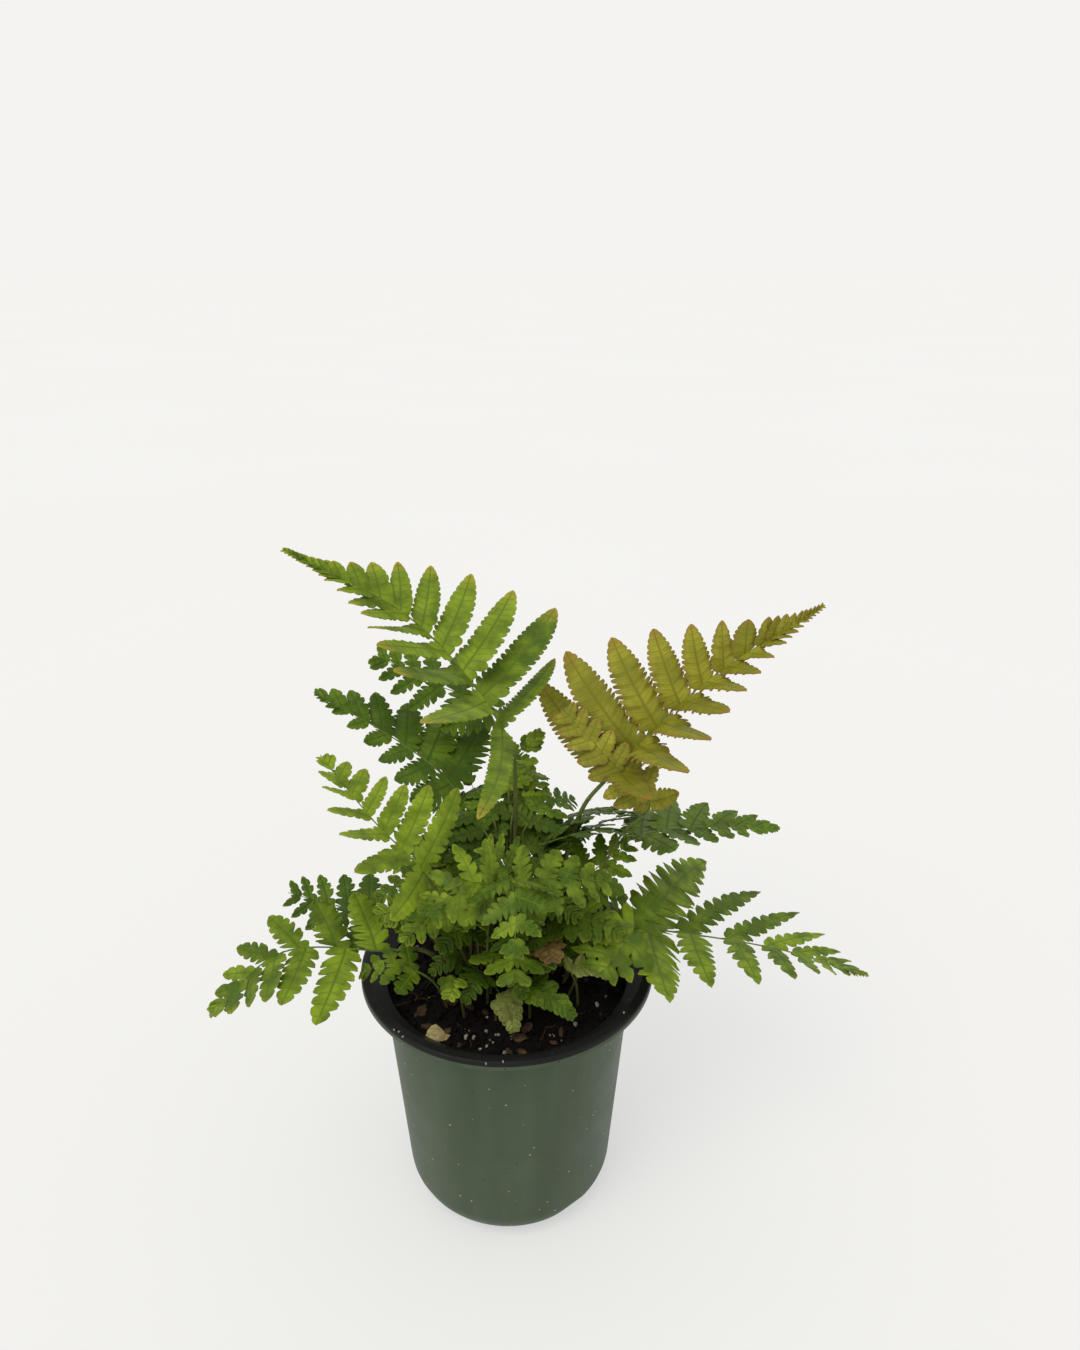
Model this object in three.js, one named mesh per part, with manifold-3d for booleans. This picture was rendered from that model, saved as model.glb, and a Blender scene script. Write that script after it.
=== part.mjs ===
// Potted fern: a young wood fern with once-cut fronds, growing in a thin moulded nursery pot.
// Millimetres, +Z up. The origin is the middle of the pot's underside, and -Y faces the viewer.
import * as THREE from 'three';
import { mergeVertices } from 'three/addons/utils/BufferGeometryUtils.js';
import Module from 'manifold-3d';

const wasm = await Module();
wasm.setup();

// ---------------------------------------------------------------- driving dimensions
const GAP = 0.3;                 // clearance between pieces that touch
const POT_HEIGHT = 105;
const LIP_RADIUS = 57;           // outside of the lip, a 4.5 inch pot
const LIP_SKIRT = 3.4;           // how far the lip's outer edge turns down
const LIP_FALL = 0.6;            // the skirt's root lies this far under the lip's own thickness
const LIP_ROUND = 0.9;           // bevel on the lip's outer edge, and the flare of its mouth
const SHOULDER_RADIUS = 48.8;    // outside of the wall just under the lip
const FOOT_RADIUS = 41;          // outside of the wall, carried down to the base
const CORNER_RADIUS = 12.5;      // round between wall and base
const CORNER_STEPS = 3;
const WALL = 1.3;
const CHANNEL_COUNT = 4;         // arched drain channels under the base
const CHANNEL_FIRST = -53;       // degrees, the first channel's direction
const CHANNEL_WIDTH = 33;        // where the arch meets the wall
const CHANNEL_HEIGHT = 9.5;
const CHANNEL_START = 17;        // distance from the axis where the arch begins
const CHANNEL_SIDES = 24;
const DRAIN_RADIUS = 3;
const DRAIN_PLACE = 29;          // distance of each drain hole from the axis
const DRAIN_SIDES = 12;
const POT_SIDES = 30;
const SOIL_LEVEL = 95;
const SOIL_SWELL = 1.1;          // height of the soil's unevenness
const SOIL_WAVES = [[0.5, 0.21, 0, 1.3], [0.5, 0, 0.17, 1.2], [0.35, 0.43, -0.43, 0]];  // share, x, y, phase
const SOIL_RINGS = 2;
const SOIL_SIDES = 15;           // half of the pot's, so that its corners stay inside the wall
const STEM_DEPTH = 6;            // how deep each stem stands in the soil
const STEM_STEPS = 11;           // straight lengths that make up a stem
const STEM_STEPS_SMALL = 6;
const HOLE_SLACK = 0.1;          // a stem's hole in the soil is wider than the gap by this
const STEM_SIDES = 5;
const STEM_SIDES_SMALL = 4;
const STEM_TURN = 20;            // degrees between a stem's first corner and its blade
const STEM_RADIUS = 1.25;        // at the foot of a large frond's stem
const STEM_TAPER = 0.8;          // how much of it is lost by the tip
const STEM_THICK = 40;           // longest leaflet of a frond whose stem is that thick
const STEM_THIN = 0.55;          // a small frond's stem is at least this share of it
const BLADE = 0.7;               // thickness of a leaflet
const JOINED = 12.5;             // leaflets shorter than this are lobes of the frond's one-piece tip
const WHOLE = 23;                // a frond with no leaflet longer than this is one lobed blade

// ---------------------------------------------------------------- colours
const COLOURS = {
  pot: 0x4a5a43, soil: 0x1b1613,
  bright: 0x6f9a35, lime: 0x8fae3f, deep: 0x3c5f2a, bronze: 0x8e8a38, pale: 0xb7c07a, brown: 0x8d7440,
};

// ---------------------------------------------------------------- fronds
// root: where the stem enters the soil; neck, foot, middle, tip: points that the midrib passes,
// with leaflets from foot to tip; face: where the blade's upper side looks, at foot and tip
// reach: longest leaflet to the left and right; angle: leaflets to the midrib at foot and tip
// fold: how far each side is raised, degrees; taper: how fast the leaflets shorten
// lean, where the sides differ: added to the left and right angle; web: how deep the lobes are joined
const FRONDS = [
  { name: 'frond_tall_left', tone: 'bright', root: [0, 10], neck: [4, 8, 171], foot: [-1, -6, 208],
    middle: [-31, 7, 243], tip: [-74, 10, 268], face: [[0.63, -0.31, 0.71], [0.21, -0.55, 0.81]],
    pairs: 12, reach: [62, 62], angle: [92, 28], fold: [22, 27], taper: 1.7 },
  { name: 'frond_tall_right', tone: 'bronze', root: [14, 6], neck: [26, 9, 156], foot: [41, 10, 181],
    middle: [75, 15, 215], tip: [118, 21, 242], face: [[-0.56, -0.5, 0.66], [-0.2, -0.85, 0.48]],
    pairs: 11, reach: [52, 52], angle: [86, 45], fold: [45, 38], taper: 1.4 },
  { name: 'frond_left_lime', tone: 'lime', root: [-10, -4], neck: [-22, -12, 132], foot: [-29, -23, 160],
    middle: [-46, -15, 176], tip: [-67, 6, 192], face: [[0.77, -0.38, 0.51], [0.7, -0.41, 0.58]],
    pairs: 7, reach: [28, 33], angle: [82, 52], fold: [13, 21], taper: 0.8 },
  { name: 'frond_low_left', tone: 'bright', root: [-17, -2], neck: [-30, -7, 113], foot: [-47, -9, 116],
    middle: [-82, -17, 123], tip: [-106, -36, 112], face: [[0.22, -0.41, 0.88], [-0.46, -0.16, 0.87]],
    pairs: 7, reach: [40, 31], angle: [84, 53], fold: [20, 24], taper: 0.75, lean: [0, -14] },
  { name: 'frond_low_right', tone: 'bright', root: [20, -3], neck: [33, -2, 118], foot: [53, 4, 114],
    middle: [101, -7, 112], tip: [137, -19, 107], face: [[0.13, 0, 0.99], [0.41, 0.24, 0.88]],
    pairs: 8, reach: [66, 43], angle: [76, 42], fold: [6, 5], taper: 1.15,
    lean: [-11, 10] },
  { name: 'frond_right_back', tone: 'deep', root: [19, 11], neck: [33, 16, 135], foot: [54, 21, 146],
    middle: [81, 25, 147], tip: [109, 20, 148], face: [[-0.04, 0.06, 1], [0.14, -0.05, 0.99]],
    pairs: 7, reach: [35, 17], angle: [74, 43], fold: [3, 3], taper: 0.8 },
  { name: 'frond_left_dark', tone: 'deep', root: [-10, 15], neck: [-15, 19, 150], foot: [-21, 21, 171],
    middle: [-43, 33, 185], tip: [-73, 34, 205], face: [[0.4, -0.6, 0.7], [0.3, -0.5, 0.8]],
    pairs: 7, reach: [28, 36], angle: [80, 38], fold: [0, 0], taper: 0.8 },
  { name: 'frond_behind_left', tone: 'deep', root: [-4, 21], neck: [-5, 34, 170], foot: [-6, 42, 192],
    middle: [-28, 46, 203], tip: [-50, 44, 216], face: [[0.2, -0.6, 0.8], [0.1, -0.7, 0.7]],
    pairs: 6, reach: [20, 20], angle: [76, 50], fold: [0, 0], taper: 0.5 },
  { name: 'frond_front_lime', tone: 'lime', root: [0, -13], neck: [0, -19, 142], foot: [1, -33, 163],
    middle: [3, -46, 160], tip: [2, -55, 147], face: [[0, 0.2, 1], [0, -0.7, 0.7]],
    pairs: 4, reach: [17, 17], angle: [80, 55], fold: [-12, -12], taper: 0.6 },
  { name: 'frond_front_right', tone: 'lime', root: [8, -13], neck: [4, -17, 132], foot: [6, -25, 155],
    middle: [20, -29, 160], tip: [37, -27, 157], face: [[0, -0.5, 0.85], [0.2, -0.5, 0.85]],
    pairs: 5, reach: [14, 16], angle: [80, 60], fold: [0, 0], taper: 0.5 },
  { name: 'frond_front_left', tone: 'lime', root: [-8, -14], neck: [-7, -21, 134], foot: [-5, -31, 157],
    middle: [-15, -37, 164], tip: [-27, -43, 154], face: [[0, -0.4, 0.9], [-0.4, -0.3, 0.85]],
    pairs: 5, reach: [16, 17], angle: [80, 55], fold: [-12, -12], taper: 0.5 },
  { name: 'frond_centre_lime', tone: 'lime', root: [1, -4], neck: [1, -8, 127], foot: [3, -12, 146],
    middle: [-1, -10, 154], tip: [-8, -6, 161], face: [[0, -0.7, 0.7], [0, -0.7, 0.7]],
    pairs: 4, reach: [16, 16], angle: [75, 50], fold: [0, 0], taper: 0.6 },
  { name: 'frond_right_front', tone: 'bright', root: [21, -12], neck: [34, -15, 124], foot: [47, -14, 129],
    middle: [42, -20, 123], tip: [34, -27, 117], face: [[0.1, -0.5, 0.85], [0, -0.5, 0.85]],
    pairs: 4, reach: [12, 23], angle: [88, 60], fold: [0, 0], taper: 0.5, web: 0.5 },
  { name: 'frond_crown_left', tone: 'bright', root: [-12, 0], neck: [-11, -1, 128], foot: [-10, -2, 143],
    middle: [-19, 4, 150], tip: [-32, 12, 152], face: [[0, -0.5, 0.85], [-0.2, -0.5, 0.85]],
    pairs: 5, reach: [14, 15], angle: [80, 50], fold: [0, 0], taper: 0.6 },
  { name: 'frond_middle_dark', tone: 'deep', root: [5, 17], neck: [3, 15, 130], foot: [4, 18, 145],
    middle: [7, 28, 152], tip: [13, 42, 158], face: [[0, -0.6, 0.8], [0, -0.6, 0.8]],
    pairs: 4, reach: [15, 21], angle: [80, 50], fold: [0, 0], taper: 0.6 },
  { name: 'frond_middle_left', tone: 'deep', root: [-15, 6], neck: [-8, 9, 135], foot: [-7, 11, 151],
    middle: [-10, 22, 160], tip: [-15, 34, 169], face: [[0, -0.6, 0.8], [0, -0.6, 0.8]],
    pairs: 4, reach: [18, 17], angle: [80, 50], fold: [0, 0], taper: 0.6 },
  { name: 'frond_back_right', tone: 'deep', root: [12, 19], neck: [13, 21, 124], foot: [20, 25, 138],
    middle: [36, 34, 143], tip: [58, 44, 145], face: [[0, 0.5, 0.86], [0, 0.5, 0.86]],
    pairs: 6, reach: [16, 16], angle: [78, 45], fold: [0, 0], taper: 0.6 },
  { name: 'frond_left_back', tone: 'deep', root: [-21, 8], neck: [-34, 4, 118], foot: [-52, 6, 123],
    middle: [-68, 9, 125], tip: [-85, 9, 131], face: [[0, -0.4, 0.9], [0, -0.6, 0.8]],
    pairs: 5, reach: [18, 18], angle: [80, 50], fold: [0, 0], taper: 0.5 },
  { name: 'frond_right_mid', tone: 'bright', root: [23, 5], neck: [24, 3, 127], foot: [31, 3, 139],
    middle: [39, 4, 146], tip: [48, 6, 152], face: [[-0.2, -0.6, 0.8], [-0.2, -0.6, 0.8]],
    pairs: 4, reach: [15, 15], angle: [75, 45], fold: [0, 0], taper: 0.6 },
  { name: 'frond_back_small', tone: 'lime', root: [4, 26], neck: [2, 42, 135], foot: [2, 49, 158],
    middle: [7, 52, 167], tip: [16, 55, 177], face: [[-0.3, -0.6, 0.7], [-0.3, -0.6, 0.7]],
    pairs: 4, reach: [11, 11], angle: [70, 45], fold: [0, 0], taper: 0.6 },
  { name: 'frond_young_front', tone: 'bright', root: [1, -21], neck: [1, -22, 113], foot: [1, -26, 126],
    middle: [2, -34, 130], tip: [2, -43, 126], face: [[0, 0, 1], [0, -0.4, 0.9]],
    pairs: 3, reach: [16, 16], angle: [82, 60], fold: [-6, -6], taper: 0.6 },
  { name: 'frond_young_left', tone: 'lime', root: [-20, -9], neck: [-27, -13, 124], foot: [-34, -14, 134],
    middle: [-40, -17, 139], tip: [-47, -20, 140], face: [[0, -0.4, 0.9], [0, -0.4, 0.9]],
    pairs: 4, reach: [11, 11], angle: [78, 50], fold: [0, 0], taper: 0.6 },
  { name: 'frond_inner_left', tone: 'lime', root: [-22, -15], neck: [-27, -17, 106], foot: [-35, -18, 114],
    middle: [-44, -18, 117], tip: [-55, -17, 113], face: [[0, -0.3, 0.95], [0, -0.3, 0.95]],
    pairs: 4, reach: [11, 11], angle: [75, 50], fold: [0, 0], taper: 0.5 },
  { name: 'leaf_small_left', tone: 'lime', root: [-16, -21], neck: [-18, -22, 106], foot: [-20, -23, 114],
    middle: [-20, -28, 114], tip: [-22, -33, 112], face: [[0, -0.3, 0.95], [0, -0.5, 0.85]],
    pairs: 2, reach: [6, 6], angle: [80, 60], fold: [0, 0], taper: 0.5 },
  { name: 'leaf_old_front', tone: 'pale', root: [-5, -24], neck: [-4, -26, 104], foot: [-2, -28, 109],
    middle: [0, -33, 107], tip: [2, -38, 101], face: [[0, -0.3, 0.95], [0, -0.8, 0.6]],
    pairs: 3, reach: [7, 6], angle: [75, 50], fold: [0, 0], taper: 0.5 },
  { name: 'leaf_dark_front', tone: 'deep', root: [8, -24], neck: [8, -26, 107], foot: [8, -28, 113],
    middle: [15, -32, 112], tip: [24, -37, 106], face: [[0, -0.3, 0.95], [0.2, -0.5, 0.85]],
    pairs: 4, reach: [8, 7], angle: [75, 45], fold: [0, 0], taper: 0.5 },
  { name: 'leaf_brown', tone: 'brown', root: [14, -19], neck: [13, -19, 112], foot: [13, -21, 124],
    middle: [15, -26, 128], tip: [16, -32, 127], face: [[0, -0.3, 0.95], [0, -0.5, 0.85]],
    pairs: 2, reach: [8, 8], angle: [78, 55], fold: [0, 0], taper: 0.5 },
  { name: 'leaf_pale_right', tone: 'pale', root: [27, -18], neck: [26, -18, 104], foot: [24, -19, 113],
    middle: [30, -21, 116], tip: [38, -24, 113], face: [[0, -0.6, 0.8], [0, -0.6, 0.8]],
    pairs: 3, reach: [5, 5], angle: [60, 40], fold: [0, 0], taper: 0.5 },
];
const BARE = 0.5;                // the leaflets start at the midrib curve's half, its foot
const BLADE_MEASURES = 20;       // straight lengths that the blade is measured in
const CROWD = 0.5;               // how much the leaflets close up towards the tip
const STAGGER = 0.3;             // the right side's leaflets start later, by this share of a step
const LAST = 0.985;              // no leaflet starts nearer to the tip than this
const LEAST = 0.03;              // a leaflet at the tip is still this share of the longest
const FILL = 0.46;               // leaflet half width as a share of the space that it has
const SLIM = 0.34;               // and at most this share of the leaflet's length
const DROOP = 0.12;              // leaflet tip's sag, as a share of its length
const SWEEP = 0.08;              // leaflet tip's lean towards the frond's tip
const STALK = 0.6;               // half width of a leaflet at its foot, and of its blade at the midrib
const POINT = 0.3;               // half width of a leaflet or blade at its tip
const PAST = 0.5;                // a blade's tip runs this far past its stem's end
const STOUT = 1.6;               // a leaflet this many times as long as wide has a rounded tip
const SLENDER = 2.9;             // and from this many times on a pointed one
const SHOULDER = 0.16;           // the leaflet is full from this share of its length on
const NARROWED = 0.45;           // and at its foot this share as wide
const FIRST_CUT = 0.12;          // place of the first cut in a leaflet's edge
const LAST_CUT = 0.97;
const CREST = 0.62;              // a lobe's crest, as a share of the way to the next cut
const LOBES = [[34, 4], [20, 3], [0, 2]];        // leaflets longer than this have so many lobes a side
const CUTS = [[26, 0.42], [0, 0.3]];             // and are cut this deep
const NOTCH = 0.12;              // depth left between two lobes of a blade, as a share of the lobe
const LOBE = [[0.3, 0.84], [0.72, 1]];   // a lobe's outer end: how far ahead, and its share of the length
const BENDS = [0, 9, -9, 18, -18, 27, -27, 36, -36, 48, -48, 60, -60];   // degrees, tried in turn
const SIZES = [1, 0.85, 0.7, 0.55];      // of a leaflet or blade that finds no room, tried in turn

// ---------------------------------------------------------------- helpers
const radians = (degrees) => degrees * Math.PI / 180;
const MERGE = 1e-4;              // corners nearer than this are one
const TOUCH = 1e-9;              // pieces that share no more than this volume are clear of each other
const clamp = (value, low, high) => Math.min(high, Math.max(low, value));
const vector = (list) => new THREE.Vector3(...list);

function solidOf(geometry) {
  geometry.deleteAttribute('normal');
  geometry.deleteAttribute('uv');
  const merged = mergeVertices(geometry, MERGE);
  const corners = [];
  for (let k = 0; k < merged.index.count; k += 3) {
    const [a, b, c] = [0, 1, 2].map((step) => merged.index.getX(k + step));
    if (a !== b && b !== c && c !== a) corners.push(a, b, c);
  }
  return new wasm.Manifold(new wasm.Mesh({
    numProp: 3,
    vertProperties: Float32Array.from(merged.attributes.position.array),
    triVerts: Uint32Array.from(corners),
  }));
}

function geometryOf(solid) {
  const mesh = solid.getMesh();
  const geometry = new THREE.BufferGeometry();
  geometry.setAttribute('position', new THREE.BufferAttribute(mesh.vertProperties, 3));
  geometry.setIndex(new THREE.BufferAttribute(mesh.triVerts, 1));
  return geometry;
}

// a body turned about the Z axis from a profile of [radius, height] points
function turned(profile, sides = POT_SIDES) {
  const points = profile.map(([radius, height]) => new THREE.Vector2(radius, height));
  return solidOf(new THREE.LatheGeometry(points, sides).rotateX(Math.PI / 2));
}

// ---------------------------------------------------------------- pot
// the wall's outer face, moved in by offset, from the base's middle up to the lip
function wallProfile(offset, top) {
  const slope = (SHOULDER_RADIUS - FOOT_RADIUS) / (POT_HEIGHT - LIP_SKIRT);
  const radius = CORNER_RADIUS - offset;
  const points = [[0, offset]];
  for (let k = 0; k <= CORNER_STEPS; k += 1) {
    const turn = Math.PI / 2 * k / CORNER_STEPS;
    const lean = slope * CORNER_RADIUS * (1 - Math.cos(turn));
    points.push([FOOT_RADIUS + lean - CORNER_RADIUS + radius * Math.sin(turn),
      CORNER_RADIUS - radius * Math.cos(turn)]);
  }
  points.push([FOOT_RADIUS - offset + slope * top, top]);
  return points;
}

// the drain channels' arches, grown by offset
function channels(offset) {
  const half = CHANNEL_WIDTH / 2;
  const radius = (half * half + CHANNEL_HEIGHT * CHANNEL_HEIGHT) / (2 * CHANNEL_HEIGHT);
  const reach = SHOULDER_RADIUS - CHANNEL_START;
  const tilt = Math.atan2(CHANNEL_HEIGHT, FOOT_RADIUS - CHANNEL_START);
  let all = null;
  for (let k = 0; k < CHANNEL_COUNT; k += 1) {
    const arch = new THREE.CylinderGeometry(radius + offset, radius + offset, reach * 2, CHANNEL_SIDES);
    arch.rotateZ(-Math.PI / 2).translate(reach, 0, -radius).rotateY(-tilt);
    arch.translate(CHANNEL_START, 0, 0).rotateZ(radians(CHANNEL_FIRST + k * 360 / CHANNEL_COUNT));
    const solid = solidOf(arch);
    all = all ? all.add(solid) : solid;
  }
  return all;
}

// everything inside the pot's wall, kept clear of it by offset
function inside(offset, top) {
  const profile = wallProfile(WALL + offset, top);
  profile.push([0, top]);
  return turned(profile).subtract(channels(WALL + offset));
}

function drainHoles() {
  let all = null;
  for (let k = 0; k < CHANNEL_COUNT; k += 1) {
    const hole = new THREE.CylinderGeometry(DRAIN_RADIUS, DRAIN_RADIUS, 4 * CHANNEL_HEIGHT, DRAIN_SIDES);
    hole.rotateX(Math.PI / 2).translate(DRAIN_PLACE, 0, 0);
    hole.rotateZ(radians(CHANNEL_FIRST + k * 360 / CHANNEL_COUNT));
    const solid = solidOf(hole);
    all = all ? all.add(solid) : solid;
  }
  return all;
}

function pot() {
  const under = POT_HEIGHT - LIP_SKIRT;
  const outside = wallProfile(0, under + WALL);
  outside.push([LIP_RADIUS - WALL, POT_HEIGHT - WALL - LIP_FALL], [LIP_RADIUS - WALL, under],
    [LIP_RADIUS, under], [LIP_RADIUS, POT_HEIGHT - LIP_ROUND], [LIP_RADIUS - LIP_ROUND, POT_HEIGHT],
    [0, POT_HEIGHT]);
  const above = POT_HEIGHT + WALL;
  const mouth = [[0, under], [SHOULDER_RADIUS - WALL, under], [SHOULDER_RADIUS + LIP_ROUND, above],
    [0, above]];
  return turned(outside).subtract(channels(0)).subtract(inside(0, under + GAP))
    .subtract(turned(mouth)).subtract(drainHoles());
}

// ---------------------------------------------------------------- soil
function soilHeight(x, y) {
  const waves = SOIL_WAVES.map(([size, alongX, alongY, phase]) => (
    size * Math.sin(alongX * x + alongY * y + phase)));
  return SOIL_LEVEL + SOIL_SWELL * waves.reduce((sum, wave) => sum + wave);
}

function soil(stems) {
  const profile = wallProfile(WALL + GAP, SOIL_LEVEL);
  const rim = profile[profile.length - 1][0];
  for (let k = SOIL_RINGS - 1; k >= 0; k -= 1) profile.push([rim * k / SOIL_RINGS, SOIL_LEVEL]);
  const geometry = new THREE.LatheGeometry(profile.map((point) => new THREE.Vector2(...point)), SOIL_SIDES);
  geometry.rotateX(Math.PI / 2);
  const place = geometry.attributes.position;
  for (let k = 0; k < place.count; k += 1) {
    if (place.getZ(k) > SOIL_LEVEL - GAP) place.setZ(k, soilHeight(place.getX(k), place.getY(k)));
  }
  let body = solidOf(geometry).subtract(channels(WALL + GAP));
  stems.forEach((stem) => { body = body.subtract(stem); });
  return body;
}

// ---------------------------------------------------------------- fronds: the curve of the stem
function stemCurve(frond) {
  const [x, y] = frond.root;
  const points = [[x, y, SOIL_LEVEL - STEM_DEPTH], frond.neck, frond.foot, frond.middle, frond.tip];
  return new THREE.CatmullRomCurve3(points.map(vector), false, 'catmullrom', 0.5);
}

const isLarge = (frond) => Math.max(...frond.reach) > WHOLE;
const stemSteps = (frond) => (isLarge(frond) ? STEM_STEPS : STEM_STEPS_SMALL);

function stemFrame(frond, along, roll = 0) {
  const curve = stemCurve(frond);
  const tangent = curve.getTangent(along);
  const [atFoot, atTip] = frond.face.map(vector);
  const face = atFoot.lerp(atTip, clamp((along - BARE) / (1 - BARE), 0, 1));
  const up = face.addScaledVector(tangent, -face.dot(tangent)).normalize();
  up.applyAxisAngle(tangent, radians(roll));
  const steps = stemSteps(frond);
  const below = Math.min(Math.floor(along * steps), steps - 1);
  const next = curve.getPoint((below + 1) / steps);
  const point = curve.getPoint(below / steps).lerp(next, along * steps - below);
  return { point, tangent, up, left: up.clone().cross(tangent) };
}

// length of the blade, from its foot to its tip
function bladeLength(frond) {
  const lengths = stemCurve(frond).getLengths(2 * BLADE_MEASURES);
  return lengths[2 * BLADE_MEASURES] - lengths[BLADE_MEASURES];
}

function stemRadius(frond, along) {
  return clamp(Math.max(...frond.reach) / STEM_THICK, STEM_THIN, 1) * (STEM_RADIUS - STEM_TAPER * along);
}

function stemSolid(frond, grow = 0, lengths = stemSteps(frond)) {
  const sides = isLarge(frond) ? STEM_SIDES : STEM_SIDES_SMALL;
  const geometry = new THREE.CylinderGeometry(1, 1, 1, sides, lengths).rotateY(radians(STEM_TURN));
  const place = geometry.attributes.position;
  for (let k = 0; k < place.count; k += 1) {
    const along = (place.getY(k) + 0.5) * lengths / stemSteps(frond);
    const { point, tangent, left, up } = stemFrame(frond, along);
    const radius = stemRadius(frond, along) + grow;
    if (along === 0) point.addScaledVector(tangent, -grow);
    point.addScaledVector(up, place.getX(k) * radius).addScaledVector(left, place.getZ(k) * radius);
    place.setXYZ(k, point.x, point.y, point.z);
  }
  return solidOf(geometry);
}

// ---------------------------------------------------------------- fronds: leaflets
function leafletPlaces(frond) {
  const places = [];
  for (let k = 0; k < frond.pairs; k += 1) {
    const even = k / frond.pairs;
    for (const side of [1, -1]) {
      const offset = side < 0 ? STAGGER / frond.pairs * (1 - even) : 0;
      places.push({ side, share: Math.min(even * (1 + CROWD * (1 - even)) + offset, LAST) });
    }
  }
  return places;
}

function isJoined(frond, { share }) {
  const longest = Math.max(...frond.reach);
  return longest <= WHOLE || longest * (1 - share) ** frond.taper < JOINED;
}

function leafletAngle(frond, which, share) {
  const lean = frond.lean ? frond.lean[which] : 0;
  return radians(frond.angle[0] + (frond.angle[1] - frond.angle[0]) * share + lean);
}

// the sideways direction of one side of the frond, raised by some degrees, and its upper side
function raised({ left, up }, side, degrees) {
  const raise = radians(degrees);
  return {
    outward: left.clone().multiplyScalar(side * Math.cos(raise)).addScaledVector(up, Math.sin(raise)),
    normal: up.clone().multiplyScalar(Math.cos(raise)).addScaledVector(left, -side * Math.sin(raise)),
  };
}

function leafletAxis(frond, { side, share }, bend = 0, size = 1) {
  const { point, tangent, left, up } = stemFrame(frond, BARE + (1 - BARE) * share);
  const which = side > 0 ? 0 : 1;
  const angle = leafletAngle(frond, which, share);
  const { outward, normal } = raised({ left, up }, side, frond.fold[which] + bend);
  const direction = tangent.clone().multiplyScalar(Math.cos(angle)).addScaledVector(outward, Math.sin(angle));
  const length = size * frond.reach[which] * ((1 - share) ** frond.taper + LEAST);
  const step = (1 + CROWD * (1 - 2 * share)) / frond.pairs;
  const half = Math.min(FILL * step * bladeLength(frond) * Math.sin(angle), SLIM * length);
  const spread = FILL * step * radians(frond.angle[0] - frond.angle[1]) * length;
  return { point, tangent, direction, normal, length, half, spread };
}

// the leaflet's midrib: place, sideways direction and normal at a share of its length
function leafletFrame(axis, share) {
  const { point, tangent, direction, normal, length } = axis;
  const place = point.clone().addScaledVector(direction, length * share)
    .addScaledVector(normal, -DROOP * length * share * share)
    .addScaledVector(tangent, SWEEP * length * share * share);
  const forward = direction.clone().addScaledVector(normal, -2 * DROOP * share)
    .addScaledVector(tangent, 2 * SWEEP * share).normalize();
  const across = normal.clone().cross(forward).normalize();
  return { place, across, normal: forward.clone().cross(across) };
}

// half of the leaflet's width at a share of its length, before its edge is cut into lobes
function leafletHalf({ length, half, spread }, share) {
  const blunt = clamp((SLENDER - length / (2 * half)) / (SLENDER - STOUT), 0, 1);
  const pointed = (1 - share ** 3) ** 0.9;
  const rounded = Math.sqrt(1 - share ** 2.5);
  const foot = clamp(NARROWED + (1 - NARROWED) * share / SHOULDER, 0, 1);
  return (half + spread * share) * foot * (pointed * (1 - blunt) + rounded * blunt);
}

function leafletStations(axis) {
  const forLength = (rows) => rows.find(([least]) => axis.length > least)[1];
  const lobes = forLength(LOBES);
  const pitch = (LAST_CUT - FIRST_CUT) / lobes;
  const stations = [{ share: 0, half: STALK }];
  for (let k = 0; k < lobes; k += 1) {
    const cut = FIRST_CUT + k * pitch;
    const crest = cut + CREST * pitch;
    stations.push({ share: cut, half: leafletHalf(axis, cut) * (1 - forLength(CUTS)) });
    stations.push({ share: crest, half: leafletHalf(axis, crest) });
  }
  stations.push({ share: 1, half: POINT });
  return stations;
}

// a plate along sections of two or three ribs, split into triangles alike on both faces
function plate(sections, grow) {
  const places = [];
  sections.forEach(({ ribs, across }) => {
    [1, -1].forEach((above) => ribs.forEach(({ place, normal }, order) => {
      const aside = 1 - 2 * order / (ribs.length - 1);
      const corner = place.clone().addScaledVector(across, aside * grow)
        .addScaledVector(normal, above * (BLADE / 2 + grow));
      places.push(corner.x, corner.y, corner.z);
    }));
  });
  const count = sections[0].ribs.length;
  const faces = [];
  const quad = (a, b, c, d) => faces.push(a, b, c, a, c, d);
  for (let k = 0; k < sections.length; k += 1) {
    const near = 2 * count * k;
    const far = near + 2 * count;
    for (let top = near; top + 1 < near + count; top += 1) {
      const under = top + count;
      if (k === 0) quad(top, under, under + 1, top + 1);
      if (k === sections.length - 1) {
        quad(top, top + 1, under + 1, under);
      } else {
        quad(top, top + 1, top + 1 + 2 * count, top + 2 * count);
        quad(under, under + 2 * count, under + 1 + 2 * count, under + 1);
      }
    }
    if (k < sections.length - 1) {
      quad(near, far, far + count, near + count);
      quad(near + count - 1, far - 1, far + 2 * count - 1, far + count - 1);
    }
  }
  const geometry = new THREE.BufferGeometry();
  geometry.setAttribute('position', new THREE.Float32BufferAttribute(places, 3));
  geometry.setIndex(faces);
  return solidOf(geometry);
}

function leafletSolid(axis, grow = 0) {
  const sections = leafletStations(axis).map(({ share, half }) => {
    const { place, across, normal } = leafletFrame(axis, share);
    const ribs = [1, -1].map((aside) => (
      { place: place.clone().addScaledVector(across, aside * half), normal }));
    return { ribs, across };
  });
  return plate(sections, grow);
}

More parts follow.
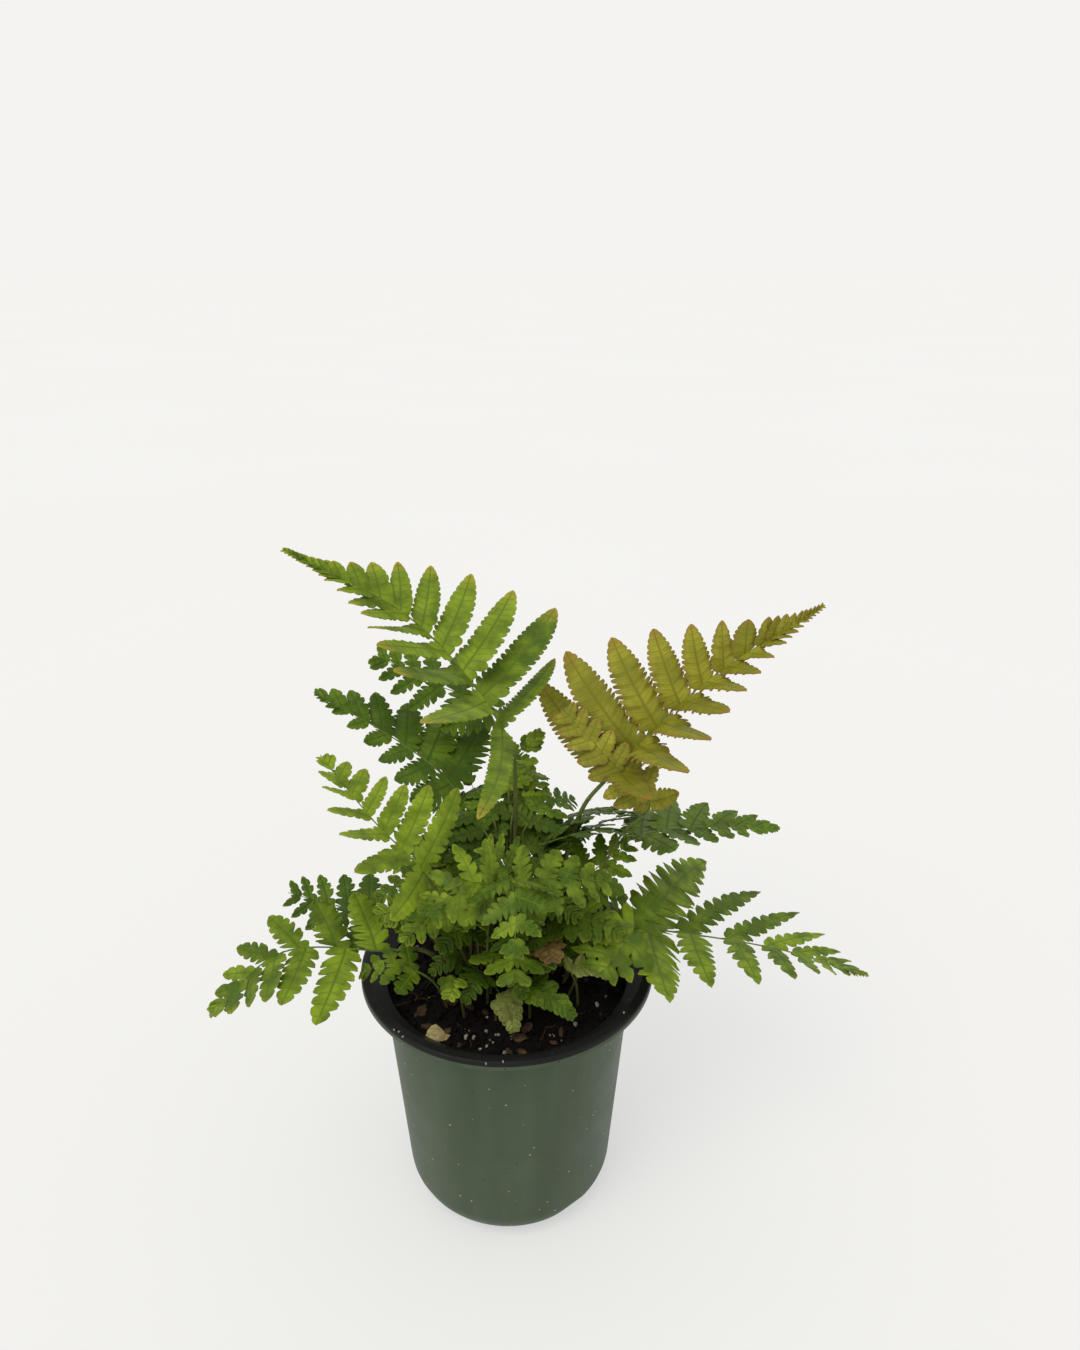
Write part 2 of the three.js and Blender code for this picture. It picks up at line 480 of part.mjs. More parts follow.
// the frond's tip, or a small frond's whole blade: one plate, cut nearly to the rib between its leaflets
function bladeSolid(frond, roll = 0, size = 1, grow = 0) {
  const pairs = leafletPlaces(frond).filter((spot) => spot.side > 0 && isJoined(frond, spot));
  if (pairs.length === 0) return null;
  const sections = [];
  const addSection = (share, reaches, past = 0) => {
    const { point, tangent, left, up } = stemFrame(frond, BARE + (1 - BARE) * share, roll);
    point.addScaledVector(tangent, past);
    const ribs = [1, -1].map((side, which) => {
      const { outward, normal } = raised({ left, up }, side, frond.fold[which]);
      return { place: point.clone().addScaledVector(outward, reaches[which]), normal };
    });
    if (frond.fold.some(Boolean)) ribs.splice(1, 0, { place: point, normal: up });
    sections.push({ ribs, across: left });
  };
  pairs.forEach((spot, order) => {
    const gap = (order + 1 < pairs.length ? pairs[order + 1].share : 1) - spot.share;
    const reaches = [1, -1].map((side, which) => (
      leafletAxis(frond, { side, share: spot.share }, 0, size).length
      * Math.sin(leafletAngle(frond, which, spot.share))));
    const notch = order ? frond.web ?? NOTCH : 0;
    addSection(spot.share, reaches.map((reach) => STALK + notch * reach));
    LOBE.forEach(([ahead, wide]) => {
      addSection(spot.share + ahead * gap, reaches.map((reach) => wide * reach));
    });
  });
  addSection(1, [POINT, POINT], PAST);
  return plate(sections, grow);
}

// ---------------------------------------------------------------- fronds: growing them clear of each other
function boxesMeet(a, b) {
  return [0, 1, 2].every((k) => a.min[k] <= b.max[k] && b.min[k] <= a.max[k]);
}

function isClear(candidate, others) {
  const box = candidate.boundingBox();
  return others.every(({ solid, bounds }) => !boxesMeet(box, bounds)
    || candidate.intersect(solid).volume() < TOUCH);
}

const listed = (solid) => ({ solid, bounds: solid.boundingBox() });

function growFronds(fixed) {
  const pieces = FRONDS.map((frond) => [listed(stemSolid(frond))]);
  // the first bend, and size if no bend will do, that keeps clear of the other fronds
  const grow = (make, which) => {
    const others = [...fixed, ...pieces.flatMap((list, other) => (other === which ? [] : list))];
    const tries = SIZES.flatMap((size) => BENDS.map((bend) => [bend, size]));
    const found = tries.find(([bend, size]) => isClear(make(bend, size, GAP), others));
    if (found) pieces[which].push(listed(make(...found, 0)));
  };
  FRONDS.forEach((frond, which) => {
    if (bladeSolid(frond)) grow((roll, size, margin) => bladeSolid(frond, roll, size, margin), which);
  });
  FRONDS.forEach((frond, which) => {
    leafletPlaces(frond).filter((spot) => !isJoined(frond, spot)).forEach((spot) => {
      grow((bend, size, margin) => leafletSolid(leafletAxis(frond, spot, bend, size), margin), which);
    });
  });
  return pieces.map((list) => list.map(({ solid }) => solid).reduce((whole, solid) => whole.add(solid)));
}

// ---------------------------------------------------------------- the whole plant
const fern = new THREE.Group();

function addPiece(name, solid, tone, roughness) {
  const material = new THREE.MeshStandardMaterial({ color: COLOURS[tone], roughness, metalness: 0 });
  const mesh = new THREE.Mesh(geometryOf(solid), material);
  mesh.name = name;
  fern.add(mesh);
}

const potSolid = pot();
const soilSolid = soil(FRONDS.map((frond) => stemSolid(frond, GAP + HOLE_SLACK, 1)));
addPiece('pot', potSolid, 'pot', 0.5);
addPiece('soil', soilSolid, 'soil', 0.95);
growFronds([listed(potSolid), listed(soilSolid)]).forEach((solid, which) => {
  addPiece(FRONDS[which].name, solid, FRONDS[which].tone, 0.55);
});

export default fern;
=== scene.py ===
# Potted fern: a young wood fern with once-cut fronds in a thin moulded nursery pot.
# Blender works in metres; the tables and dimensions below are in millimetres, as the pot and plant
# were drawn, and become metres when a mesh is made. -Y faces the viewer.
import random
from math import atan2, cos, exp, hypot, pi, radians, sin, sqrt, tau

import bpy
from mathutils import Matrix, Vector, noise
from mathutils.bvhtree import BVHTree


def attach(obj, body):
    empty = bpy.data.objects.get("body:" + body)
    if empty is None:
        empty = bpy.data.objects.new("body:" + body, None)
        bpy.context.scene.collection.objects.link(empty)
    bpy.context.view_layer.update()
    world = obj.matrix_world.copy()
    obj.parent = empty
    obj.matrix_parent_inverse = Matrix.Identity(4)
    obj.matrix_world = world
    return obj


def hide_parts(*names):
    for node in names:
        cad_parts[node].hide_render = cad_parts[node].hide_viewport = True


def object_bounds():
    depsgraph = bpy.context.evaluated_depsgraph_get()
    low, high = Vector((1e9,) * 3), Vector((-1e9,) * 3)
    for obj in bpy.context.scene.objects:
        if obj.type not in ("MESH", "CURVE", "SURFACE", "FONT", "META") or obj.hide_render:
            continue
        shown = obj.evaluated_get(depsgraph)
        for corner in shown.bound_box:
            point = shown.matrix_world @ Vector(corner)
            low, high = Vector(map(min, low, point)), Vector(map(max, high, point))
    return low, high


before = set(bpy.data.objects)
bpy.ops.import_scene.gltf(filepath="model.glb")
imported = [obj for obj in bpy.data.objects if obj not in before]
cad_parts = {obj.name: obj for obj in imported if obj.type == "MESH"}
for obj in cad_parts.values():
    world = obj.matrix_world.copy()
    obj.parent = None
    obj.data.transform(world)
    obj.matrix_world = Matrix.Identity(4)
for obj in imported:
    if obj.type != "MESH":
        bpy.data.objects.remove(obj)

CAD_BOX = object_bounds()
MM = 0.001

# ---------------------------------------------------------------- pot and soil, as in the frame
GAP = 0.3
POT_HEIGHT = 105
LIP_RADIUS = 57
LIP_SKIRT = 3.4
LIP_FALL = 0.6
LIP_ROUND = 0.9
LIP_STEPS = 3
LIP_FOLD = 2.2                   # the flare meets the lip this many walls in from its edge
FLARE_START = 99.6               # the wall turns outwards to the lip from here
LIP_TOP = 3.6                    # width of its flat top; inside, it slopes down to the wall
LIP_BLACK = 1.9                  # the black of the inside reaches this far down over the lip
SHOULDER_RADIUS = 48.8
FOOT_RADIUS = 41
CORNER_RADIUS = 12.5
CORNER_STEPS = 10
WALL = 1.3
CHANNEL_COUNT = 4
CHANNEL_FIRST = -53
CHANNEL_WIDTH = 33
CHANNEL_HEIGHT = 9.5
CHANNEL_START = 17
CHANNEL_SIDES = 96
DRAIN_RADIUS = 3
DRAIN_PLACE = 29
DRAIN_SIDES = 32
POT_STEPS = 120
WALL_SLOPE = (SHOULDER_RADIUS - FOOT_RADIUS) / (POT_HEIGHT - LIP_SKIRT)
EDGE_ROUND = 0.35                # every sharp edge of the moulding is rounded by this
EDGE_ANGLE = 38                  # degrees, from which an edge counts as sharp
SOIL_LEVEL = 95
SOIL_SWELL = 1.1
SOIL_WAVES = [(0.5, 0.21, 0, 1.3), (0.5, 0, 0.17, 1.2), (0.35, 0.43, -0.43, 0)]
SOIL_RINGS = 44
CLOD_HEIGHT, CRUMB_HEIGHT = 0.9, 0.5
STEM_DEPTH = 6

# ---------------------------------------------------------------- fronds, as in the frame
# one row is one frond: name and tone; pairs of leaflets; length of the lowest leaflet on its left and
# its right; angle from the midrib at the foot and at the tip; how far each side folds up; how fast the
# leaflets get shorter; where the stem stands; then its neck, the foot, middle and tip of the blade, the
# way that the blade faces at its foot and tip, and last, for some, what is added to the leaflets' angle
# on each side
FROND_PARTS = ("name", "tone", "pairs", "reach", "angle", "fold", "taper", "root", "neck",
               "foot", "middle", "tip", "face", "lean")
FRONDS = [dict(zip(FROND_PARTS, row)) for row in (
    ("frond_tall_left", "bright", 12, (62, 62), (92, 28), (22, 27), 1.7,
     (0, 10), (4, 8, 171), (-1, -6, 208), (-31, 7, 243), (-74, 10, 268),
     ((0.63, -0.31, 0.71), (0.21, -0.55, 0.81))),
    ("frond_tall_right", "bronze", 11, (52, 52), (86, 45), (45, 38), 1.4,
     (14, 6), (26, 9, 156), (41, 10, 181), (75, 15, 215), (118, 21, 242),
     ((-0.56, -0.5, 0.66), (-0.2, -0.85, 0.48))),
    ("frond_left_lime", "lime", 7, (28, 33), (82, 52), (13, 21), 0.8,
     (-10, -4), (-22, -12, 132), (-29, -23, 160), (-46, -15, 176), (-67, 6, 192),
     ((0.77, -0.38, 0.51), (0.7, -0.41, 0.58))),
    ("frond_low_left", "bright", 7, (40, 31), (84, 53), (20, 24), 0.75,
     (-17, -2), (-30, -7, 113), (-47, -9, 116), (-82, -17, 123), (-106, -36, 112),
     ((0.22, -0.41, 0.88), (-0.46, -0.16, 0.87)), (0, -14)),
    ("frond_low_right", "bright", 8, (66, 43), (76, 42), (6, 5), 1.15,
     (20, -3), (33, -2, 118), (53, 4, 114), (101, -7, 112), (137, -19, 107),
     ((0.13, 0, 0.99), (0.41, 0.24, 0.88)), (-11, 10)),
    ("frond_right_back", "deep", 7, (35, 17), (74, 43), (3, 3), 0.8,
     (19, 11), (33, 16, 135), (54, 21, 146), (81, 25, 147), (109, 20, 148),
     ((-0.04, 0.06, 1), (0.14, -0.05, 0.99))),
    ("frond_left_dark", "deep", 7, (28, 36), (80, 38), (0, 0), 0.8,
     (-10, 15), (-15, 19, 150), (-21, 21, 171), (-43, 33, 185), (-73, 34, 205),
     ((0.4, -0.6, 0.7), (0.3, -0.5, 0.8))),
    ("frond_behind_left", "deep", 6, (20, 20), (76, 50), (0, 0), 0.5,
     (-4, 21), (-5, 34, 170), (-6, 42, 192), (-28, 46, 203), (-50, 44, 216),
     ((0.2, -0.6, 0.8), (0.1, -0.7, 0.7))),
    ("frond_front_lime", "lime", 4, (17, 17), (80, 55), (-12, -12), 0.6,
     (0, -13), (0, -19, 142), (1, -33, 163), (3, -46, 160), (2, -55, 147),
     ((0, 0.2, 1), (0, -0.7, 0.7))),
    ("frond_front_right", "lime", 5, (14, 16), (80, 60), (0, 0), 0.5,
     (8, -13), (4, -17, 132), (6, -25, 155), (20, -29, 160), (37, -27, 157),
     ((0, -0.5, 0.85), (0.2, -0.5, 0.85))),
    ("frond_front_left", "lime", 5, (16, 17), (80, 55), (-12, -12), 0.5,
     (-8, -14), (-7, -21, 134), (-5, -31, 157), (-15, -37, 164), (-27, -43, 154),
     ((0, -0.4, 0.9), (-0.4, -0.3, 0.85))),
    ("frond_centre_lime", "lime", 4, (16, 16), (75, 50), (0, 0), 0.6,
     (1, -4), (1, -8, 127), (3, -12, 146), (-1, -10, 154), (-8, -6, 161),
     ((0, -0.7, 0.7), (0, -0.7, 0.7))),
    ("frond_right_front", "bright", 4, (12, 23), (88, 60), (0, 0), 0.5,
     (21, -12), (34, -15, 124), (47, -14, 129), (42, -20, 123), (34, -27, 117),
     ((0.1, -0.5, 0.85), (0, -0.5, 0.85))),
    ("frond_crown_left", "bright", 5, (14, 15), (80, 50), (0, 0), 0.6,
     (-12, 0), (-11, -1, 128), (-10, -2, 143), (-19, 4, 150), (-32, 12, 152),
     ((0, -0.5, 0.85), (-0.2, -0.5, 0.85))),
    ("frond_middle_dark", "deep", 4, (15, 21), (80, 50), (0, 0), 0.6,
     (5, 17), (3, 15, 130), (4, 18, 145), (7, 28, 152), (13, 42, 158),
     ((0, -0.6, 0.8), (0, -0.6, 0.8))),
    ("frond_middle_left", "deep", 4, (18, 17), (80, 50), (0, 0), 0.6,
     (-15, 6), (-8, 9, 135), (-7, 11, 151), (-10, 22, 160), (-15, 34, 169),
     ((0, -0.6, 0.8), (0, -0.6, 0.8))),
    ("frond_back_right", "deep", 6, (16, 16), (78, 45), (0, 0), 0.6,
     (12, 19), (13, 21, 124), (20, 25, 138), (36, 34, 143), (58, 44, 145),
     ((0, 0.5, 0.86), (0, 0.5, 0.86))),
    ("frond_left_back", "deep", 5, (18, 18), (80, 50), (0, 0), 0.5,
     (-21, 8), (-34, 4, 118), (-52, 6, 123), (-68, 9, 125), (-85, 9, 131),
     ((0, -0.4, 0.9), (0, -0.6, 0.8))),
    ("frond_right_mid", "bright", 4, (15, 15), (75, 45), (0, 0), 0.6,
     (23, 5), (24, 3, 127), (31, 3, 139), (39, 4, 146), (48, 6, 152),
     ((-0.2, -0.6, 0.8), (-0.2, -0.6, 0.8))),
    ("frond_back_small", "lime", 4, (11, 11), (70, 45), (0, 0), 0.6,
     (4, 26), (2, 42, 135), (2, 49, 158), (7, 52, 167), (16, 55, 177),
     ((-0.3, -0.6, 0.7), (-0.3, -0.6, 0.7))),
    ("frond_young_front", "bright", 3, (16, 16), (82, 60), (-6, -6), 0.6,
     (1, -21), (1, -22, 113), (1, -26, 126), (2, -34, 130), (2, -43, 126), ((0, 0, 1), (0, -0.4, 0.9))),
    ("frond_young_left", "lime", 4, (11, 11), (78, 50), (0, 0), 0.6,
     (-20, -9), (-27, -13, 124), (-34, -14, 134), (-40, -17, 139), (-47, -20, 140),
     ((0, -0.4, 0.9), (0, -0.4, 0.9))),
    ("frond_inner_left", "lime", 4, (11, 11), (75, 50), (0, 0), 0.5,
     (-22, -15), (-27, -17, 106), (-35, -18, 114), (-44, -18, 117), (-55, -17, 113),
     ((0, -0.3, 0.95), (0, -0.3, 0.95))),
    ("leaf_small_left", "lime", 2, (6, 6), (80, 60), (0, 0), 0.5,
     (-16, -21), (-18, -22, 106), (-20, -23, 114), (-20, -28, 114), (-22, -33, 112),
     ((0, -0.3, 0.95), (0, -0.5, 0.85))),
    ("leaf_old_front", "pale", 3, (7, 6), (75, 50), (0, 0), 0.5,
     (-5, -24), (-4, -26, 104), (-2, -28, 109), (0, -33, 107), (2, -38, 101),
     ((0, -0.3, 0.95), (0, -0.8, 0.6))),
    ("leaf_dark_front", "deep", 4, (8, 7), (75, 45), (0, 0), 0.5,
     (8, -24), (8, -26, 107), (8, -28, 113), (15, -32, 112), (24, -37, 106),
     ((0, -0.3, 0.95), (0.2, -0.5, 0.85))),
    ("leaf_brown", "brown", 2, (8, 8), (78, 55), (0, 0), 0.5,
     (14, -19), (13, -19, 112), (13, -21, 124), (15, -26, 128), (16, -32, 127),
     ((0, -0.3, 0.95), (0, -0.5, 0.85))),
    ("leaf_pale_right", "pale", 3, (5, 5), (60, 40), (0, 0), 0.5,
     (27, -18), (26, -18, 104), (24, -19, 113), (30, -21, 116), (38, -24, 113),
     ((0, -0.6, 0.8), (0, -0.6, 0.8))),
)]

# how the frame builds a frond from its row
BARE = 0.5                       # share of the midrib's curve that is bare stalk
CROWD = 0.5                      # leaflets stand closer together towards the tip
STAGGER = 0.3                    # the right ones start a little further up
LAST = 0.985                     # no leaflet starts beyond this share of the blade
LEAST = 0.03                     # least length, as a share of the longest
FILL = 0.46                      # half width of a leaflet, as a share of its room
SLIM = 0.34                      # and at most this share of its length
DROOP = 0.12                     # how far its tip hangs, and bends towards the frond's tip
SWEEP = 0.08
STOUT, SLENDER = 1.6, 2.9        # length against width of a blunt and of a pointed leaflet
JOINED = 12.5                    # leaflets shorter than this are lobes of the frond's tip
WHOLE = 23                       # a frond with no leaflet longer than this is one lobed blade
STEM_RADIUS = 1.25               # at the foot of a large frond's stem
STEM_TAPER = 0.8                 # how much of it is lost by the tip
STEM_THICK = 40                  # longest leaflet of a frond whose stem is that thick
STEM_THIN = 0.55                 # a small frond's stem is at least this share of it
# to find how the frame bent a leaflet, these bends and sizes are tried against its solid
BENDS = (0, 9, -9, 18, -18, 27, -27, 36, -36, 48, -48, 60, -60)
SIZES = (1, 0.85, 0.7, 0.55)
LOBE_END = 0.72                  # a lobe of the tip ends this far on towards the next one
LOBE_INSIDE = 0.97               # and is tried just inside its end
CLOSE = 0.75                     # mm from the solid that are close enough
LOST = 3                         # mm from it at which the frame has no such leaflet

# ---------------------------------------------------------------- fine form of the leaflets
BLADE = 0.34                     # real thickness of a leaflet
ROWS = 7                         # rows of faces along one lobe
INNER = 0.62                     # where its columns stand: the edge, beside it, beside the rib, the rib
COLUMNS = (-1, -INNER, -0.17, 0, 0.17, INNER, 1)
# outlines of one lobe, notch to notch: with a small tooth on its shoulder, rounded, or plain
SHARP = (0, 0.52, 0.8, 0.8, 1, 0.93, 0.6)
ROUND = (0, 0.62, 0.92, 0.88, 1, 0.97, 0.62)
PLAIN = (0, 0.6, 0.88, 0.98, 1, 0.94, 0.6)
HUG = 1.1                        # how far up the leaflet its edge bends along the midrib
SLANT = 0.6                      # how far the side veins and lobes lean towards the leaflet's tip
# how leaflets of a tone look: distance between lobes; depth of the notches at the frond's foot and
# tip; outline of a lobe; how broad they are against the frame's, at foot and tip (the real ones
# nearly touch, and in the frame they keep clear); how blunt (None: from their shape); and how level
# they turn towards the sky, from 0, in the plane of the frond, to 1: left side's foot and tip,
# right side's foot and tip. Reach is the leaflets' length against the frame's on the left and right,
# and first the same for the lowest pair alone; merges says that they run into each other near the
# tip; wing is how much joined ones widen at the midrib, and ripe how yellow their ends are
USUAL = dict(pitch=3.4, depth=(0.5, 0.5), outline=SHARP, broad=(1.2, 1.2), blunt=None,
             level=(0.1, 0.1, 0.1, 0.1), reach=(1, 1), first=(1, 1), merges=0, wing=0.15, ripe=0.4)
LOOKS = {
    "bright": dict(depth=(0.6, 0.4), level=(0.2, 0.1, 0.2, 0.1)),
    "lime": dict(pitch=3.5, depth=(0.7, 0.55), outline=ROUND, broad=(1.05, 1.1)),
    "deep": dict(depth=(0.66, 0.5)),
    "bronze": dict(pitch=2.1, depth=(0.4, 0.15), outline=PLAIN, broad=(1.1, 1.45), blunt=0.5,
                   level=(0.1, 0, 0.9, 0.5), merges=1, ripe=0.8, reach=(1, 0.84), first=(0.8, 0.8)),
    "pale": dict(pitch=3.0, outline=ROUND, level=(0, 0, 0, 0)),
    "brown": dict(pitch=3.2, outline=ROUND, level=(0, 0, 0, 0)),
}
# in their own looks, dark moves a frond's leaflets between base and shade colour: above zero it is
# painted shade on the low fronds at the front, below zero it lightens a frond
OWN_LOOKS = {
    "frond_tall_left": dict(pitch=2.4, depth=(0.32, 0.12), outline=PLAIN, broad=(0.62, 1.32), blunt=0.4,
                            first=(0.95, 0.6), merges=1, dark=-0.3, ripe=1.0, level=(0.75, 0.2, 0.9, 0)),
    "frond_low_left": dict(pitch=4.2, depth=(0.62, 0.45), outline=ROUND, broad=(0.95, 1.15), blunt=0.75,
                           merges=1, reach=(1, 0.75), dark=-0.3),
    "frond_low_right": dict(pitch=4.6, depth=(0.7, 0.5), broad=(1.7, 1.05), merges=1),
    "frond_left_lime": dict(pitch=3.2, depth=(0.35, 0.25), broad=(0.8, 0.98), blunt=0.7,
                            merges=1, dark=-0.65, ripe=0.7),
    "frond_left_dark": dict(pitch=3.6, depth=(0.5, 0.35), broad=(1.3, 1.6), blunt=0.5,
                            merges=1, wing=0.5, reach=(0.62, 0.9)),
    "frond_right_back": dict(pitch=4.0, depth=(0.5, 0.35), outline=ROUND, broad=(1.6, 1.6), dark=-0.6),
    "leaf_dark_front": dict(depth=(0.4, 0.3), broad=(1.7, 1.7), wing=1.2, dark=0.2),
    "leaf_old_front": dict(broad=(1.5, 1.5), wing=1.0, dark=0.5),
    "frond_young_front": dict(dark=0.3),
    "frond_front_lime": dict(pitch=2.8, outline=SHARP, blunt=0.15, dark=0.3),
    "frond_young_left": dict(dark=-0.3),
    "leaf_pale_right": dict(dark=-0.6),
    "frond_right_front": dict(pitch=4.2, dark=0.1, wing=0.8, broad=(1.7, 1.7), depth=(0.8, 0.6),
                              reach=(1.4, 1.15)),
    "lower_blade": dict(pitch=2.6, depth=(0.25, 0.2), broad=(1.0, 1.0), blunt=0.6,
                        level=(0.3, 0.1, 0.3, 0.1)),
}
LONG, LONGEST = 20, 60           # between these lengths the notches get deeper
DEEPER = 0.15                    # by this, at the longest
DEEPEST = 0.76
WING = 0.4                       # leaflets that are joined widen along the midrib
EAR = 0.22                       # the lobes nearest the midrib, on the side of the tip, stand out more
WIDEST = (0.27, 0.4)             # most half width against length, of long and of short leaflets
SHORT, SHORTEST = 35, 15         # lengths between which a leaflet goes from long to short
NARROW_FOOT = 0.75               # its width at the midrib, against that a tenth of the way out
POINTED = (2.1, 0.9)             # powers that give a pointed leaflet its outline
ROUNDED = 2.8                    # and a blunt one
JOINED_WIDER = 0.5               # the small ones near a frond's tip run into each other
OVERLAP = 10                     # degrees: each leaflet's front edge lies over the next one's back edge
TOUCHING = 0.65                  # small leaflets this far apart, against their length, touch
MOST_FILLED = 3                  # and a gap between two is filled up to so many steps
LOWEST = 0.03                    # leaflets below this share of the blade are the lowest pair
PITCH_GROWS = 0.35               # lobes are further apart on the longest leaflets by this
SMALL = 9                        # leaflets shorter than this have shallower notches
FOOT_HUGS = (0.1, 0.4)           # least and most share of a leaflet whose edge hugs the midrib
EAR_SHARE, WING_SHARE = 0.2, 0.14   # share of the leaflet over which they fade
INSIDE_NOTCH = 0.84              # the column beside the edge keeps to this share of the notched width
TIP_HALF = 0.12                  # half width of a leaflet's very end
RIB_SINKS = 0.18                 # mm that the rib lies below the blade
# how much one leaflet differs from the next
TWIST = (-16, 16)                # degrees, from its foot to its tip
TILT = (-6, 6)                   # degrees, about its length
CURL = (-0.04, 0.07)             # share of its length that its tip is bent up or down
CUP = (0.04, 0.3)                # share of its half width that its edges hang down
RIPPLE = (0.03, 0.12)            # and that they wave
PUFF = (0.1, 0.3)                # mm that the blade swells between side veins
NOTCHES = (0.6, 1.35)            # depth of a notch against the others'
# stems
STEM_RINGS = 48
STEM_SIDES = 8
STALK, MIDRIB = 0.85, 0.42       # their thickness against the frame's
GROOVE = 0.78                    # the upper side of a fern's stalk is grooved
BROWN_FOOT = 0.15                # from here up to the blade a stem turns from brown to green
SCALES = (20, 46)                # papery scales on a small and on a large frond's stem
SCALY = (0.06, 0.6)              # where along it they stand, closer together towards the foot
SCALE_LENGTH = (1.0, 2.2)


# ---------------------------------------------------------------- working in Blender
def deselect():
    bpy.ops.object.select_all(action="DESELECT")


def pick(*pieces):
    """selects these pieces and nothing else; the last one is the active one"""
    deselect()
    for piece in pieces:
        piece.select_set(True)
    bpy.context.view_layer.objects.active = pieces[-1]


def primitive(shape, **settings):
    """adds one of Blender's primitives, alone selected and with its place in its mesh"""
    deselect()
    getattr(bpy.ops.mesh, f"primitive_{shape}_add")(**settings)
    bpy.ops.object.transform_apply(location=True, rotation=True, scale=True)
    return bpy.context.object


def rename(piece, name):
    piece.name = name
    piece.data.name = name
    return piece


def apply_modifier(piece, kind, **settings):
    """adds a modifier with its settings, and applies it"""
    pick(piece)
    modifier = piece.modifiers.new(kind.title(), kind)
    for key, value in settings.items():
        setattr(modifier, key, value)
    bpy.ops.object.modifier_apply(modifier=modifier.name)


def cut(piece, tool):
    """cuts the tool's shape out of the piece, and puts the tool away"""
    apply_modifier(piece, "BOOLEAN", operation="DIFFERENCE", solver="EXACT", object=tool)
    bpy.data.objects.remove(tool)


def smooth(piece, degrees=32):
    """smooth shading, but for edges that are sharper than this"""
    pick(piece)
    bpy.ops.object.shade_smooth_by_angle(angle=radians(degrees))


def mesh_piece(name, corners, faces, materials):
    """a new object from corners in mm"""
    mesh = bpy.data.meshes.new(name)
    mesh.from_pydata([tuple(corner * MM) for corner in corners], [], faces)
    piece = bpy.data.objects.new(name, mesh)
    bpy.context.collection.objects.link(piece)
    for material in materials:
        mesh.materials.append(material)
    return piece


def tint_corners(mesh, tints):
    """what the materials read at each corner: age, a random tone among its kind with the frond's painted
    shade added, nearness to the edge
    """
    tint = mesh.attributes.new("tint", "FLOAT_COLOR", "POINT")
    for index, value in enumerate(tints):
        tint.data[index].color = value


def faces_after(start, faces):
    """a copied shape's faces, where its corners follow the start corners before them"""
    return [tuple(start + index for index in face) for face in faces]


def shape_of(piece):
    """corners and faces of a modelled shape, which then makes way for its copies"""
    corners = [vertex.co.copy() for vertex in piece.data.vertices]
    faces = [tuple(face.vertices) for face in piece.data.polygons]
    bpy.data.objects.remove(piece)
    return corners, faces


# ---------------------------------------------------------------- nodes and colours
def colour(value):
    """an sRGB hex colour in linear light"""
    parts = [(value >> shift & 255) / 255 for shift in (16, 8, 0)]
    return (*[part / 12.92 if part <= 0.04045 else ((part + 0.055) / 1.055) ** 2.4 for part in parts], 1)


def new_material(name):
    """a material with no nodes yet, and the function that adds them"""
    material = bpy.data.materials.new(name)
    material.use_nodes = True
    tree = material.node_tree
    tree.nodes.clear()

    def add(kind, links=None, **settings):
        """adds a node with its settings, and its inputs as values or as links; gives back its outputs"""
        made = tree.nodes.new("ShaderNode" + kind)
        for key, value in settings.items():
            setattr(made, key, value)
        for key, value in (links or {}).items():
            if isinstance(value, bpy.types.NodeSocket):
                tree.links.new(value, made.inputs[key])
            else:
                made.inputs[key].default_value = value
        return made.outputs

    return material, add


# sockets that have no name of their own: a Mix node's when it is set to colours are below, and a
# MapRange node's 1 to 4 are from low, from high, to low and to high
MIX_A, MIX_B, MIX_COLOUR = 6, 7, 2
SEE_THROUGH = 0.2                # share of the light that shines through a leaf


def skin_of(add, body, gloss, height, strength, depth, ior, shine=0.5):
    """a skin with its colour, gloss and relief from nodes; gives back its shader and its relief"""
    bump = add("Bump", {"Strength": strength, "Distance": depth * MM, "Height": height})
    skin = add("BsdfPrincipled", {"Base Color": body[MIX_COLOUR], "IOR": ior, "Normal": bump[0],
                                  "Specular IOR Level": shine, "Roughness": gloss[0]})
    return skin[0], bump[0]


